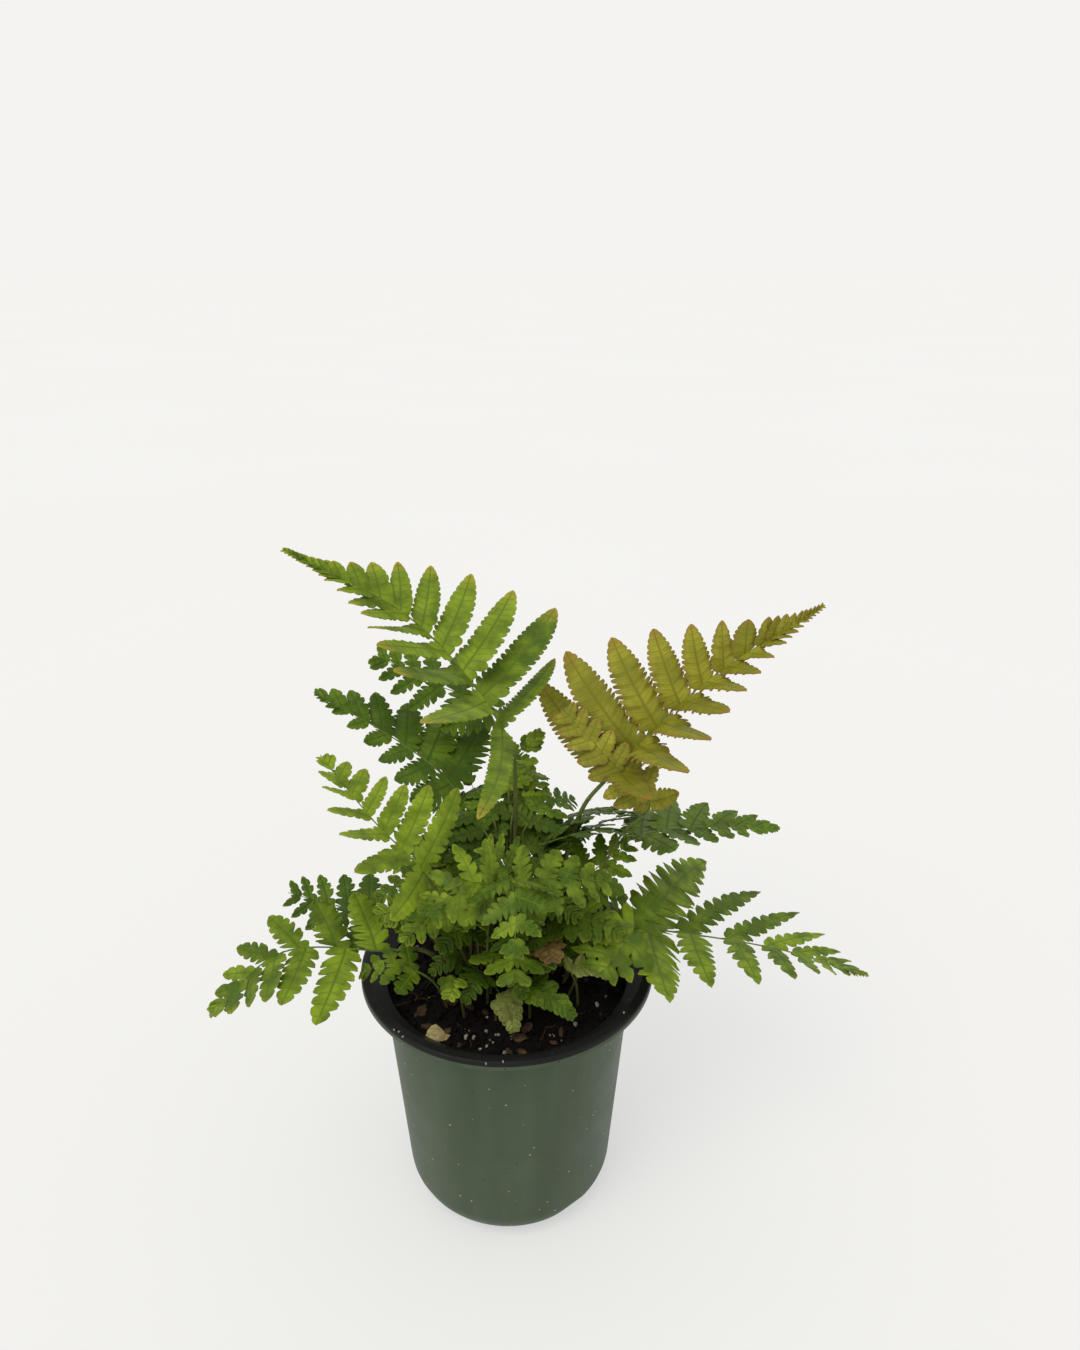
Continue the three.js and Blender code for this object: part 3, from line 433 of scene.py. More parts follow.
def leaf_material(name, base, shade, tip, vein, margin=None, roughness=(0.42, 0.58)):
    """A living leaf, waxy and slightly see-through: soft mottling from base to shade, with painted shade
    that moves the leaflets of shaded fronds further towards the shade colour, the tip colour towards
    young ends, darker ribs, and a satin gloss broken by the raised veins."""
    material, add = new_material(name)
    tint = add("Attribute", attribute_name="tint")
    parts = add("SeparateColor", {0: tint["Color"]})
    place = add("TexCoord")["Object"]
    # mottling about 7 mm across, and a fine grain of about 0.8 mm
    mottle = add("TexNoise", {"Vector": place, "Scale": 140.0, "Detail": 3.0})
    grain = add("TexNoise", {"Vector": place, "Scale": 1250.0})
    patch = add("MapRange", {"Value": mottle["Fac"], 1: 0.35, 2: 0.68, 4: 0.75})
    # the tint's second channel is a random tone plus the frond's painted shade; it moves the colour
    # towards the shade colour
    each = add("Math", {0: parts[1], 1: 0.7}, operation="MULTIPLY")
    spread = add("Math", {0: patch[0], 1: each[0]}, operation="ADD", use_clamp=True)
    body = add("Mix", {0: spread[0], MIX_A: colour(base), MIX_B: colour(shade)}, data_type="RGBA")
    young = add("MapRange", {"Value": parts[0], 1: 0.3, 2: 1.0, 4: 0.9})
    aged = add("Mix", {0: young[0], MIX_A: body[MIX_COLOUR], MIX_B: colour(tip)}, data_type="RGBA")
    rim = add("MapRange", {"Value": parts[2], 1: 0.62, 2: 1.0, 4: 0.6 if margin else 0.04})
    edged = add("Mix", {0: rim[0], MIX_A: aged[MIX_COLOUR], MIX_B: colour(margin or tip)},
                data_type="RGBA")
    # ribs: the UV map counts teeth along the leaflet and runs from edge to edge across it
    blade = add("UVMap", uv_map="blade")
    along_across = add("SeparateXYZ", {0: blade[0]})
    across = add("Math", {0: along_across[1]}, operation="ABSOLUTE")
    rib = add("MapRange", {"Value": across[0], 1: 0.02, 2: 0.12, 3: 1.0, 4: 0.0},
              interpolation_type="SMOOTHSTEP")
    part = add("Math", {0: along_across[0]}, operation="FRACT")
    off = add("Math", {0: part[0], 1: 0.5}, operation="SUBTRACT")
    beside = add("Math", {0: off[0]}, operation="ABSOLUTE")
    branch = add("MapRange", {"Value": beside[0], 1: 0.03, 2: 0.17, 3: 1.0, 4: 0.0},
                 interpolation_type="SMOOTHSTEP")
    short = add("MapRange", {"Value": across[0], 1: 0.55, 2: 0.95, 3: 0.55, 4: 0.0})
    side = add("Math", {0: branch[0], 1: short[0]}, operation="MULTIPLY")
    ribs = add("Math", {0: rib[0], 1: side[0]}, operation="MAXIMUM")
    drawn = add("Math", {0: ribs[0], 1: 0.75}, operation="MULTIPLY")
    veined = add("Mix", {0: drawn[0], MIX_A: edged[MIX_COLOUR], MIX_B: colour(vein)}, data_type="RGBA")
    gloss = add("MapRange", {"Value": grain["Fac"], 1: 0.3, 2: 0.7, 3: roughness[0], 4: roughness[1]})
    uneven = add("Math", {0: grain["Fac"], 1: 0.25}, operation="MULTIPLY")
    relief = add("Math", {0: uneven[0], 1: ribs[0]}, operation="SUBTRACT")
    skin, bump = skin_of(add, veined, gloss, relief[0], 0.45, 0.3, 1.42, 0.28)
    through = add("BsdfTranslucent", {"Color": veined[MIX_COLOUR], "Normal": bump})
    both = add("MixShader", {0: SEE_THROUGH, 1: skin, 2: through[0]})
    add("OutputMaterial", {0: both[0]})
    return material


# upper side, and underside, which is duller and greyer, as it has no wax: base, shade, tip and vein,
# and for some the margin. The dark green of the deep tone is partly painted shade, for the fronds
# that stand behind, below and among the others
LEAF_COLOURS = {
    "bright": ((0x8ea826, 0x4c660e, 0xb0a038, 0x587014), (0x8ea04a, 0x78903c, 0xb0a658, 0x9cae5c)),
    "lime": ((0x94ac2a, 0x46600f, 0xaab23e, 0x64801a), (0x9cac54, 0x889c44, 0xb4b864, 0xa8b466)),
    "deep": ((0x6e8c1c, 0x445e10, 0x7c942a, 0x3c540e), (0x6a8038, 0x58702e, 0x849046, 0x7a8c48)),
    "bronze": ((0xb0ae36, 0x888a28, 0xac803e, 0x7c7822, 0x8c6a36),
               (0xa69e4c, 0x8e8840, 0xa4804c, 0xa49c58, 0x8e6a42)),
    "pale": ((0xb0bc64, 0x666c30, 0xb8a860, 0x8c9a4c), (0xb4b87e, 0xa2aa6a, 0xc2b484, 0xb0b47a)),
    "brown": ((0x8c7440, 0x765e34, 0x9c8452, 0x64502c, 0x5a462a),
              (0x947f50, 0x826c42, 0xa28e64, 0x746240)),
}
LEAVES = {tone: [leaf_material(f"leaf_{tone}_upper", *upper),
                 leaf_material(f"leaf_{tone}_under", *under, roughness=(0.6, 0.7))]
          for tone, (upper, under) in LEAF_COLOURS.items()}


def stem_material():
    """Fern stalk: a smooth round stem, brown-green and dull at the foot, fresh green higher up, with
    fine lengthwise streaks."""
    material, add = new_material("stem_green_brown")
    tint = add("Attribute", attribute_name="tint")
    parts = add("SeparateColor", {0: tint["Color"]})
    place = add("TexCoord")["Object"]
    # streaks 0.7 mm wide and five times as long
    long_way = add("Mapping", {"Vector": place, "Scale": (1400.0, 1400.0, 280.0)})
    streak = add("TexNoise", {"Vector": long_way[0], "Scale": 1.0, "Detail": 3.0})
    lower = add("Mix", {0: streak["Fac"], MIX_A: colour(0x3a3a1e), MIX_B: colour(0x5c5a2c)},
                data_type="RGBA")
    upper = add("Mix", {0: streak["Fac"], MIX_A: colour(0x42561c), MIX_B: colour(0x68802e)},
                data_type="RGBA")
    both = add("Mix", {0: parts[0], MIX_A: lower[MIX_COLOUR], MIX_B: upper[MIX_COLOUR]},
               data_type="RGBA")
    gloss = add("MapRange", {"Value": streak["Fac"], 1: 0.3, 2: 0.7, 3: 0.45, 4: 0.65})
    skin, _ = skin_of(add, both, gloss, streak["Fac"], 0.3, 0.2, 1.42)
    add("OutputMaterial", {0: skin})
    return material


def grainy_material(name, dark, light, size, rough, height, streaked=1.0):
    """Something loose and natural: noise of the given size in mm between two colours, dull, with
    relief of the given height in mm; streaked stretches the noise along X."""
    material, add = new_material(name)
    place = add("TexCoord")["Object"]
    scale = 1 / (size * MM)
    turned_way = add("Mapping", {"Vector": place, "Scale": (scale / streaked, scale, scale)})
    coarse = add("TexNoise", {"Vector": turned_way[0], "Scale": 1.0, "Detail": 6.0, "Roughness": 0.7})
    ramp = add("MapRange", {"Value": coarse["Fac"], 1: 0.36, 2: 0.66})
    body = add("Mix", {0: ramp[0], MIX_A: colour(dark), MIX_B: colour(light)}, data_type="RGBA")
    gloss = add("MapRange", {"Value": coarse["Fac"], 1: 0.3, 2: 0.7, 3: rough, 4: 0.97})
    skin, _ = skin_of(add, body, gloss, coarse["Fac"], 0.9, height, 1.4, 0.2)
    add("OutputMaterial", {0: skin})
    return material


def pot_material(name, base, shade, streak_colour, dust_share, shine):
    """Moulded polypropylene: satin, with soft upright bands of painted reflection, a very fine grain,
    and specks of potting dust and dried drops where the share is above zero."""
    material, add = new_material(name)
    place = add("TexCoord")["Object"]
    # painted reflection: lighter bands 12 mm wide that run from top to bottom, towards the second colour
    upright = add("Mapping", {"Vector": place, "Scale": (85.0, 85.0, 7.0)})
    painted_reflection_band = add("TexNoise", {"Vector": upright[0], "Scale": 1.0, "Detail": 4.0})
    grain = add("TexNoise", {"Vector": place, "Scale": 1600.0})
    cloud = add("TexNoise", {"Vector": place, "Scale": 40.0, "Detail": 4.0})
    painted_reflection_mask = add("MapRange", {"Value": painted_reflection_band["Fac"], 1: 0.35, 2: 0.7, 4: 0.8})
    body = add("Mix", {0: painted_reflection_mask[0], MIX_A: colour(base), MIX_B: colour(shade)}, data_type="RGBA")
    clouded = add("MapRange", {"Value": cloud["Fac"], 1: 0.5, 2: 0.75, 4: 0.35})
    worn = add("Mix", {0: clouded[0], MIX_A: body[MIX_COLOUR], MIX_B: colour(streak_colour)},
               data_type="RGBA")
    # specks about 0.7 mm across, in patches, some light and some dark
    cells = add("TexVoronoi", {"Vector": place, "Scale": 330.0})
    dot = add("MapRange", {"Value": cells["Distance"], 1: 0.08, 2: 0.13, 3: 1.0, 4: 0.0})
    which = add("SeparateColor", {0: cells["Color"]})
    some = add("Math", {0: which[0], 1: 1 - dust_share}, operation="GREATER_THAN")
    patches = add("MapRange", {"Value": cloud["Fac"], 1: 0.42, 2: 0.52})
    specks = add("Math", {0: dot[0], 1: some[0]}, operation="MULTIPLY")
    dust = add("Math", {0: specks[0], 1: patches[0]}, operation="MULTIPLY")
    pale = add("Math", {0: which[1], 1: 0.4}, operation="GREATER_THAN")
    grit = add("Mix", {0: pale[0], MIX_A: colour(0x171712), MIX_B: colour(0xb4b4a4)}, data_type="RGBA")
    dusty = add("Mix", {0: dust[0], MIX_A: worn[MIX_COLOUR], MIX_B: grit[MIX_COLOUR]},
                data_type="RGBA")
    gloss = add("MapRange", {"Value": cloud["Fac"], 1: 0.3, 2: 0.7, 3: 0.4, 4: 0.55})
    lumps = add("Math", {0: grain["Fac"], 1: dust[0]}, operation="ADD")
    skin, _ = skin_of(add, dusty, gloss, lumps[0], 0.25, 0.2, 1.49, shine)
    add("OutputMaterial", {0: skin})
    return material


STEM = stem_material()
SCALE_HAIR = grainy_material("stem_scale_papery", 0x4c3520, 0x7a5a36, 0.6, 0.7, 0.05)
# the second colour of each pot is the lighter colour of its painted reflection bands
POT_GREEN = pot_material("polypropylene_green_moulded", 0x33432c, 0x3f4f37, 0x525c48, 0.6, 0.3)
POT_BLACK = pot_material("polypropylene_black_moulded", 0x0b0c0a, 0x10110f, 0x191b17, 0.08, 0.2)
# dark peat, made near-black with painted shade: the shade that falls inside the pot
PEAT_AND_PAINTED_SHADE = grainy_material("peat_moist_crumbled_painted_shade", 0x040303, 0x130f0c, 2.2, 0.75, 0.8)
PERLITE = grainy_material("perlite_expanded", 0x6e685e, 0xaaa59a, 0.9, 0.8, 0.3)
BARK = grainy_material("bark_chipped", 0x241a12, 0x5c4833, 1.6, 0.75, 0.4, 5.0)
CHIP = grainy_material("wood_chip_pale", 0x8f8050, 0xc9bd8c, 1.8, 0.75, 0.4, 4.0)
ROOT = grainy_material("root_dried", 0x2e2218, 0x5f4c38, 0.8, 0.75, 0.1)


# ---------------------------------------------------------------- stage, light and camera
CAMERA_PLACE = Vector((0, -0.3251, 0.3581))
CAMERA_TURN = 2.26               # degrees to the right of straight ahead
CAMERA_TILT = 22.3               # degrees down
FOCAL = 1007                     # focal length in pixels of the 1080 x 1350 photograph
PHOTO_WIDE, PHOTO_HIGH = 1080, 1350
STAGE_WIDTH = 30                 # metres, so that its far edge melts into the light behind
STAGE_GLOW = 0.55                # makes the sheet as bright as the backdrop
SUN_POWER = 1.1
SUN_SPREAD = 35                  # degrees, a wide soft window
SUN_WAY = Vector((0.45, 0.55, -1))


def camera_axes():
    """the camera's right, up and ahead"""
    turn, tilt = radians(CAMERA_TURN), radians(CAMERA_TILT)
    ahead = Vector((sin(turn) * cos(tilt), cos(turn) * cos(tilt), -sin(tilt)))
    right = ahead.cross(Vector((0, 0, 1))).normalized()
    return right, right.cross(ahead), ahead


def on_level(across, down, level):
    """the point in mm at a height in mm that the photograph shows at a pixel"""
    right, up, ahead = camera_axes()
    ray = ahead * FOCAL + right * (across - PHOTO_WIDE / 2) - up * (down - PHOTO_HIGH / 2)
    return (CAMERA_PLACE + ray * ((level * MM - CAMERA_PLACE.z) / ray.z)) / MM


def make_camera():
    data = bpy.data.cameras.new("camera")
    data.sensor_width = 36
    data.lens = FOCAL * data.sensor_width / PHOTO_HIGH
    camera = bpy.data.objects.new("camera", data)
    right, up, ahead = camera_axes()
    camera.matrix_world = Matrix((right, up, -ahead)).transposed().to_4x4()
    camera.location = CAMERA_PLACE
    bpy.context.collection.objects.link(camera)
    bpy.context.scene.camera = camera


def make_stage():
    """a pale sheet of paper under the pot"""
    sheet = rename(primitive("plane", size=STAGE_WIDTH, location=(0, STAGE_WIDTH / 3, 0)), "stage_sheet")
    material, add = new_material("paper_white_matt")
    place = add("TexCoord")["Object"]
    cloud = add("TexNoise", {"Vector": place, "Scale": 1.6, "Detail": 1.0})
    body = add("Mix", {0: cloud["Fac"], MIX_A: colour(0x9c9a98), MIX_B: colour(0x9f9e9d)},
               data_type="RGBA")
    skin = add("BsdfPrincipled", {"Base Color": body[MIX_COLOUR], "Roughness": 0.9,
                                  "Specular IOR Level": 0.0, "Emission Strength": STAGE_GLOW,
                                  "Emission Color": colour(0xf5f7f7)})
    add("OutputMaterial", {0: skin[0]})
    sheet.data.materials.append(material)


def make_light():
    world = bpy.data.worlds.new("studio")
    bpy.context.scene.world = world
    world.use_nodes = True
    world.node_tree.nodes["Background"].inputs["Color"].default_value = colour(0xf4f3f1)
    data = bpy.data.lights.new("light_window", "SUN")
    data.energy = SUN_POWER
    data.angle = radians(SUN_SPREAD)
    data.color = colour(0xfff8ee)[:3]
    window = bpy.data.objects.new("light_window", data)
    window.rotation_euler = SUN_WAY.to_track_quat("-Z", "Y").to_euler()
    bpy.context.collection.objects.link(window)
    # colours are shown as they are, without a film curve
    bpy.context.scene.view_settings.view_transform = "Standard"


# ---------------------------------------------------------------- pot
def turned(name, profile):
    """a round body, drawn as a line of [radius, height] points and spun about the Z axis"""
    body = rename(primitive("plane", size=MM), name)
    bpy.ops.object.mode_set(mode="EDIT")
    bpy.ops.mesh.merge(type="CENTER")
    bpy.ops.mesh.select_all(action="SELECT")
    first = profile[0]
    bpy.ops.transform.translate(value=(first[0] * MM, 0, first[1] * MM))
    for near, far in zip(profile, profile[1:]):
        step = ((far[0] - near[0]) * MM, 0, (far[1] - near[1]) * MM)
        bpy.ops.mesh.extrude_region_move(TRANSFORM_OT_translate={"value": step})
    bpy.ops.mesh.select_all(action="SELECT")
    bpy.ops.mesh.spin(steps=POT_STEPS, angle=tau, center=(0, 0, 0), axis=(0, 0, 1))
    bpy.ops.mesh.select_all(action="SELECT")
    bpy.ops.mesh.remove_doubles(threshold=1e-6)
    bpy.ops.mesh.normals_make_consistent(inside=False)
    bpy.ops.object.mode_set(mode="OBJECT")
    return body


def wall_profile(offset, top):
    """the wall's outer face, moved in by offset, from the middle of the base up to top"""
    radius = CORNER_RADIUS - offset
    points = [(0, offset)]
    for k in range(CORNER_STEPS + 1):
        turn = pi / 2 * k / CORNER_STEPS
        lean = WALL_SLOPE * CORNER_RADIUS * (1 - cos(turn))
        points.append((FOOT_RADIUS + lean - CORNER_RADIUS + radius * sin(turn),
                       CORNER_RADIUS - radius * cos(turn)))
    points.append((FOOT_RADIUS - offset + WALL_SLOPE * top, top))
    return points


def channel_turn(k):
    return radians(CHANNEL_FIRST + k * 360 / CHANNEL_COUNT)


def channel(k, offset):
    """one arched drain channel under the base, grown by offset, and tilted up towards the wall"""
    half = CHANNEL_WIDTH / 2
    radius = (half * half + CHANNEL_HEIGHT * CHANNEL_HEIGHT) / (2 * CHANNEL_HEIGHT)
    reach = SHOULDER_RADIUS - CHANNEL_START
    tilt = atan2(CHANNEL_HEIGHT, FOOT_RADIUS - CHANNEL_START)
    arch = primitive("cylinder", vertices=CHANNEL_SIDES, radius=(radius + offset) * MM,
                     depth=2 * reach * MM)
    arch.data.transform(
        Matrix.Rotation(channel_turn(k), 4, "Z")
        @ Matrix.Translation((CHANNEL_START * MM, 0, 0)) @ Matrix.Rotation(-tilt, 4, "Y")
        @ Matrix.Translation((reach * MM, 0, -radius * MM)) @ Matrix.Rotation(pi / 2, 4, "Y"))
    return arch


def is_black(middle, facing):
    """the pot is black inside, and so is its lip but for the lower edge; the rest is green"""
    if middle.z > POT_HEIGHT - LIP_BLACK:
        return True
    if middle.z <= CORNER_RADIUS:
        return facing.z > 0.2
    inward = facing.x * middle.x + facing.y * middle.y < 0
    wall_middle = FOOT_RADIUS + WALL_SLOPE * middle.z - WALL / 2
    on_flare = middle.z > FLARE_START and facing.z > 0.1
    return inward and (hypot(middle.x, middle.y) < wall_middle or on_flare)


def make_pot():
    """one shell: the outside is turned as a solid, and the inside, channels and holes are cut out"""
    under = POT_HEIGHT - LIP_SKIRT
    outside = wall_profile(0, FLARE_START)
    edge = []
    for k in range(LIP_STEPS + 1):
        turn = pi / 2 * k / LIP_STEPS
        edge.append((LIP_RADIUS - LIP_ROUND + LIP_ROUND * cos(turn),
                     POT_HEIGHT - LIP_ROUND + LIP_ROUND * sin(turn)))
    outside += [(LIP_RADIUS - LIP_FOLD * WALL, POT_HEIGHT - WALL - LIP_FALL),
                (LIP_RADIUS - WALL, POT_HEIGHT - WALL - LIP_FALL), (LIP_RADIUS - WALL, under),
                (LIP_RADIUS, under), (LIP_RADIUS, POT_HEIGHT - LIP_BLACK), *edge, (0, POT_HEIGHT)]
    pot = turned("pot_moulded", outside)
    inner = turned("inside", [*wall_profile(WALL, FLARE_START + GAP), (0, FLARE_START + GAP)])
    for k in range(CHANNEL_COUNT):
        cut(pot, channel(k, 0))
        cut(inner, channel(k, WALL))
    cut(pot, inner)
    above = POT_HEIGHT + WALL
    cut(pot, turned("mouth", [(0, FLARE_START), (wall_profile(WALL, FLARE_START)[-1][0], FLARE_START),
                              (LIP_RADIUS - LIP_TOP, POT_HEIGHT),
                              (LIP_RADIUS - LIP_TOP, above), (0, above)]))
    for k in range(CHANNEL_COUNT):
        turn = channel_turn(k)
        place = (DRAIN_PLACE * cos(turn) * MM, DRAIN_PLACE * sin(turn) * MM, 0)
        cut(pot, primitive("cylinder", vertices=DRAIN_SIDES, radius=DRAIN_RADIUS * MM,
                           depth=4 * CHANNEL_HEIGHT * MM, location=place))
    apply_modifier(pot, "BEVEL", width=EDGE_ROUND * MM, segments=2, limit_method="ANGLE",
                   angle_limit=radians(EDGE_ANGLE))
    pot.data.materials.clear()
    pot.data.materials.append(POT_GREEN)
    pot.data.materials.append(POT_BLACK)
    for face in pot.data.polygons:
        face.material_index = 1 if is_black(face.center / MM, face.normal) else 0
    smooth(pot)
    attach(pot, "root")
    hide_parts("pot")


# ---------------------------------------------------------------- soil
def soil_height(x, y):
    waves = sum(size * sin(along_x * x + along_y * y + phase)
                for size, along_x, along_y, phase in SOIL_WAVES)
    return SOIL_LEVEL + SOIL_SWELL * waves


def crumb_height(x, y):
    """the soil's height with its clods, about 5 mm across, and its crumbs, about 1 mm"""
    place = Vector((x, y, 0))
    return (soil_height(x, y) + CLOD_HEIGHT * noise.fractal(place * 0.22, 1, 2, 4)
            + CRUMB_HEIGHT * noise.fractal(place * 0.9 + Vector((40, 7, 3)), 1, 2, 2))


def make_soil():
    profile = wall_profile(WALL + GAP, SOIL_LEVEL)
    rim = profile[-1][0]
    profile += [(rim * k / SOIL_RINGS, SOIL_LEVEL) for k in range(SOIL_RINGS - 1, -1, -1)]
    soil = turned("soil_peat", profile)
    for k in range(CHANNEL_COUNT):
        cut(soil, channel(k, WALL + GAP))
    for vertex in soil.data.vertices:
        if vertex.co.z > (SOIL_LEVEL - 0.1) * MM:
            x, y = vertex.co.x / MM, vertex.co.y / MM
            vertex.co.z = crumb_height(x, y) * MM
    soil.data.materials.clear()
    soil.data.materials.append(PEAT_AND_PAINTED_SHADE)
    smooth(soil, 60)
    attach(soil, "root")
    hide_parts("soil")


def lump(seed, roughness, flatness):
    """one irregular grain about 1 mm across: a ball of 80 faces pushed in and out"""
    grain = primitive("ico_sphere", subdivisions=2, radius=0.5)
    for vertex in grain.data.vertices:
        push = 1 + roughness * noise.noise(vertex.co * 2.6 + Vector((seed * 3.1, 0, 0)))
        vertex.co = Vector((vertex.co.x * push, vertex.co.y * push * 0.8, vertex.co.z * push * flatness))
    return shape_of(grain)


def scatter(name, shapes, places, material):
    """copies of the shapes at places of [centre in mm, size in mm, matrix of its turn]"""
    corners, faces = [], []
    for k, (centre, size, turn) in enumerate(places):
        shape_corners, shape_faces = shapes[k % len(shapes)]
        start = len(corners)
        corners += [centre + turn @ (corner * size) for corner in shape_corners]
        faces += faces_after(start, shape_faces)
    piece = mesh_piece(name, corners, faces, [material])
    smooth(piece, 50)
    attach(piece, "root")


def soil_spot(chance, most=44.5):
    """a random place on the soil, up to this far from the middle"""
    turn = chance.uniform(0, tau)
    radius = sqrt(chance.uniform(0, most ** 2))
    x, y = radius * cos(turn), radius * sin(turn)
    return Vector((x, y, crumb_height(x, y)))


def seen_spot(across, down, raised_by, level=SOIL_LEVEL + 1):
    """the place on the soil that the photograph shows at a pixel, raised by so many mm"""
    spot = on_level(across, down, level)
    spot.z = crumb_height(spot.x, spot.y) + raised_by
    return spot


def any_turn(chance, lean):
    """any turn about the upright, and a lean of up to so many radians"""
    return (Matrix.Rotation(chance.uniform(0, tau), 3, "Z")
            @ Matrix.Rotation(chance.uniform(-lean, lean), 3, "X")
            @ Matrix.Rotation(chance.uniform(-lean, lean), 3, "Y"))


CRUMBS, PERLITE_GRAINS, BARK_CHIPS = 620, 36, 26
TUMBLED, LYING = 1.5, 0.5        # radians that a grain may lean, and a flat chip
LIP_SPECK = 0.8                  # size of the grains that fell on the lip
IN_SOIL = 0.3                    # a grain's middle lies this share of its size over the soil


def make_soil_bits():
    """crumbs of peat, perlite and bark: first where the photograph shows them, then at random"""
    chance = random.Random(11)
    rough = [lump(k, 0.9, 0.75) for k in range(4)]
    flat = [lump(k + 9, 0.7, 0.35) for k in range(4)]
    crumbs = [(soil_spot(chance), chance.uniform(1.2, 3.4), any_turn(chance, TUMBLED))
              for _ in range(CRUMBS)]
    scatter("soil_crumbs", rough, crumbs, PEAT_AND_PAINTED_SHADE)
    # pixels across and down in the photograph, and size in mm
    seen = [(466, 1036, 2.6), (474, 1037, 2.2), (486, 1031, 1.8), (490, 1040, 1.2), (480, 1047, 1.5),
            (487, 1046, 1.6), (493, 1044, 1.4), (505, 1052, 2.2), (511, 1039, 1.8), (450, 1052, 1.2),
            (597, 1004, 2.4), (606, 995, 1.4), (510, 1006, 1.5), (512, 1013, 1.6), (487, 1015, 1.4)]
    grains = [(seen_spot(across, down, IN_SOIL * size), 0.75 * size, any_turn(chance, TUMBLED))
              for across, down, size in seen]
    for _ in range(PERLITE_GRAINS):
        size = chance.choice((0.7, 0.9, 1.3, 1.8))
        grains.append((soil_spot(chance) + Vector((0, 0, IN_SOIL * size)), size,
                       any_turn(chance, TUMBLED)))
    for across, down in ((394, 1030), (399, 1032), (403, 1037), (624, 1013), (486, 1064), (503, 1062)):
        spot = on_level(across, down, POT_HEIGHT)
        spot.z = POT_HEIGHT + 0.25 * LIP_SPECK
        grains.append((spot, LIP_SPECK, any_turn(chance, TUMBLED)))
    scatter("soil_perlite", rough, grains, PERLITE)
    seen = [(519, 1039, 5.5), (527, 1030, 5), (523, 1053, 4.5), (427, 1027, 4), (421, 1012, 5),
            (452, 1000, 4.5), (470, 1005, 5)]
    bark = [(seen_spot(across, down, 0.18 * size), size, any_turn(chance, LYING))
            for across, down, size in seen]
    for _ in range(BARK_CHIPS):
        size = chance.uniform(2, 4.6)
        bark.append((soil_spot(chance, 42) + Vector((0, 0, 0.12 * size)), size, any_turn(chance, LYING)))
    scatter("soil_bark", flat, bark, BARK)
    # one pale wood chip at the front left
    turn = Matrix.Rotation(0.9, 3, "X") @ Matrix.Rotation(0.4, 3, "Y")
    scatter("soil_chip", flat, [(seen_spot(436, 1036, 1.6, SOIL_LEVEL + 2), 8.5, turn)], CHIP)


ROOT_LIES = 0.35                 # height of a dead root's middle over the crumbs
ROOT_PLACE = 40                  # how far from the middle of the pot it may wander
ROOT_STEP = 1.6                  # from bend to bend


def make_roots():
    """fine dead roots that lie on the soil, thin tubes that wander from crumb to crumb"""
    chance = random.Random(21)
    roots = []
    for across, down in ((392, 1004), (404, 992), (415, 1000), (560, 1024), (585, 1012), (470, 1046),
                         (540, 1040)):
        spot = on_level(across, down, SOIL_LEVEL + 1)
        data = bpy.data.curves.new("root", "CURVE")
        data.dimensions = "3D"
        data.bevel_depth = chance.uniform(0.14, 0.26) * MM
        data.bevel_resolution = 1
        line = data.splines.new("POLY")
        line.points.add(9)
        turn = chance.uniform(0, tau)
        for point in line.points:
            spot.z = crumb_height(spot.x, spot.y) + ROOT_LIES
            point.co = (*(spot * MM), 1)
            turn += chance.uniform(-0.7, 0.7)
            # it turns back before it reaches the wall
            if hypot(spot.x, spot.y) > ROOT_PLACE:
                turn = atan2(-spot.y, -spot.x)
            spot = spot + ROOT_STEP * Vector((cos(turn), sin(turn), 0))
        root = bpy.data.objects.new("root", data)
        bpy.context.collection.objects.link(root)
        roots.append(root)
    pick(*roots[1:], roots[0])
    bpy.ops.object.convert(target="MESH")
    bpy.ops.object.join()
    piece = rename(bpy.context.object, "soil_roots")
    piece.data.materials.append(ROOT)
    smooth(piece, 60)
    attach(piece, "root")


# ---------------------------------------------------------------- fronds: the curve of the stem
def clamp(value, low, high):
    return min(high, max(low, value))


def blend(ends, share):
    """a pair's first value at share 0, its second at 1, and between them in between"""
    return ends[0] + (ends[1] - ends[0]) * share


def of_side(pair, side):
    """the left's of a pair for side 1, and the right's for side -1"""
    return pair[0 if side > 0 else 1]


class Stem:
    """a frond's midrib: a smooth curve through its five points"""

    def __init__(self, frond):
        self.frond = frond
        points = [Vector((*frond["root"], SOIL_LEVEL - STEM_DEPTH))]
        points += [Vector(frond[key]) for key in ("neck", "foot", "middle", "tip")]
        self.points = [2 * points[0] - points[1], *points, 2 * points[-1] - points[-2]]
        spots = [self.point(BARE + (1 - BARE) * k / 20) for k in range(21)]
        self.blade_length = sum((b - a).length for a, b in zip(spots, spots[1:]))

    def around(self, along):
        k = min(int(along * 4), 3)
        return self.points[k:k + 4], along * 4 - k

    def point(self, along):
        (a, b, c, d), t = self.around(along)
        return 0.5 * (2 * b + (c - a) * t + (2 * a - 5 * b + 4 * c - d) * t * t
                      + (3 * b - a - 3 * c + d) * t ** 3)

    def tangent(self, along):
        (a, b, c, d), t = self.around(along)
        return (0.5 * ((c - a) + 2 * (2 * a - 5 * b + 4 * c - d) * t
                       + 3 * (3 * b - a - 3 * c + d) * t * t)).normalized()

    def frame(self, along, roll=0):
        tangent = self.tangent(along)
        at_foot, at_tip = (Vector(face) for face in self.frond["face"])
        face = at_foot.lerp(at_tip, clamp((along - BARE) / (1 - BARE), 0, 1))
        up = (face - face.dot(tangent) * tangent).normalized()
        up = Matrix.Rotation(radians(roll), 3, tangent) @ up
        return self.point(along), tangent, up, up.cross(tangent)

    def radius(self, along):
        stout = clamp(max(self.frond["reach"]) / STEM_THICK, STEM_THIN, 1)
        return stout * (STEM_RADIUS - STEM_TAPER * along)


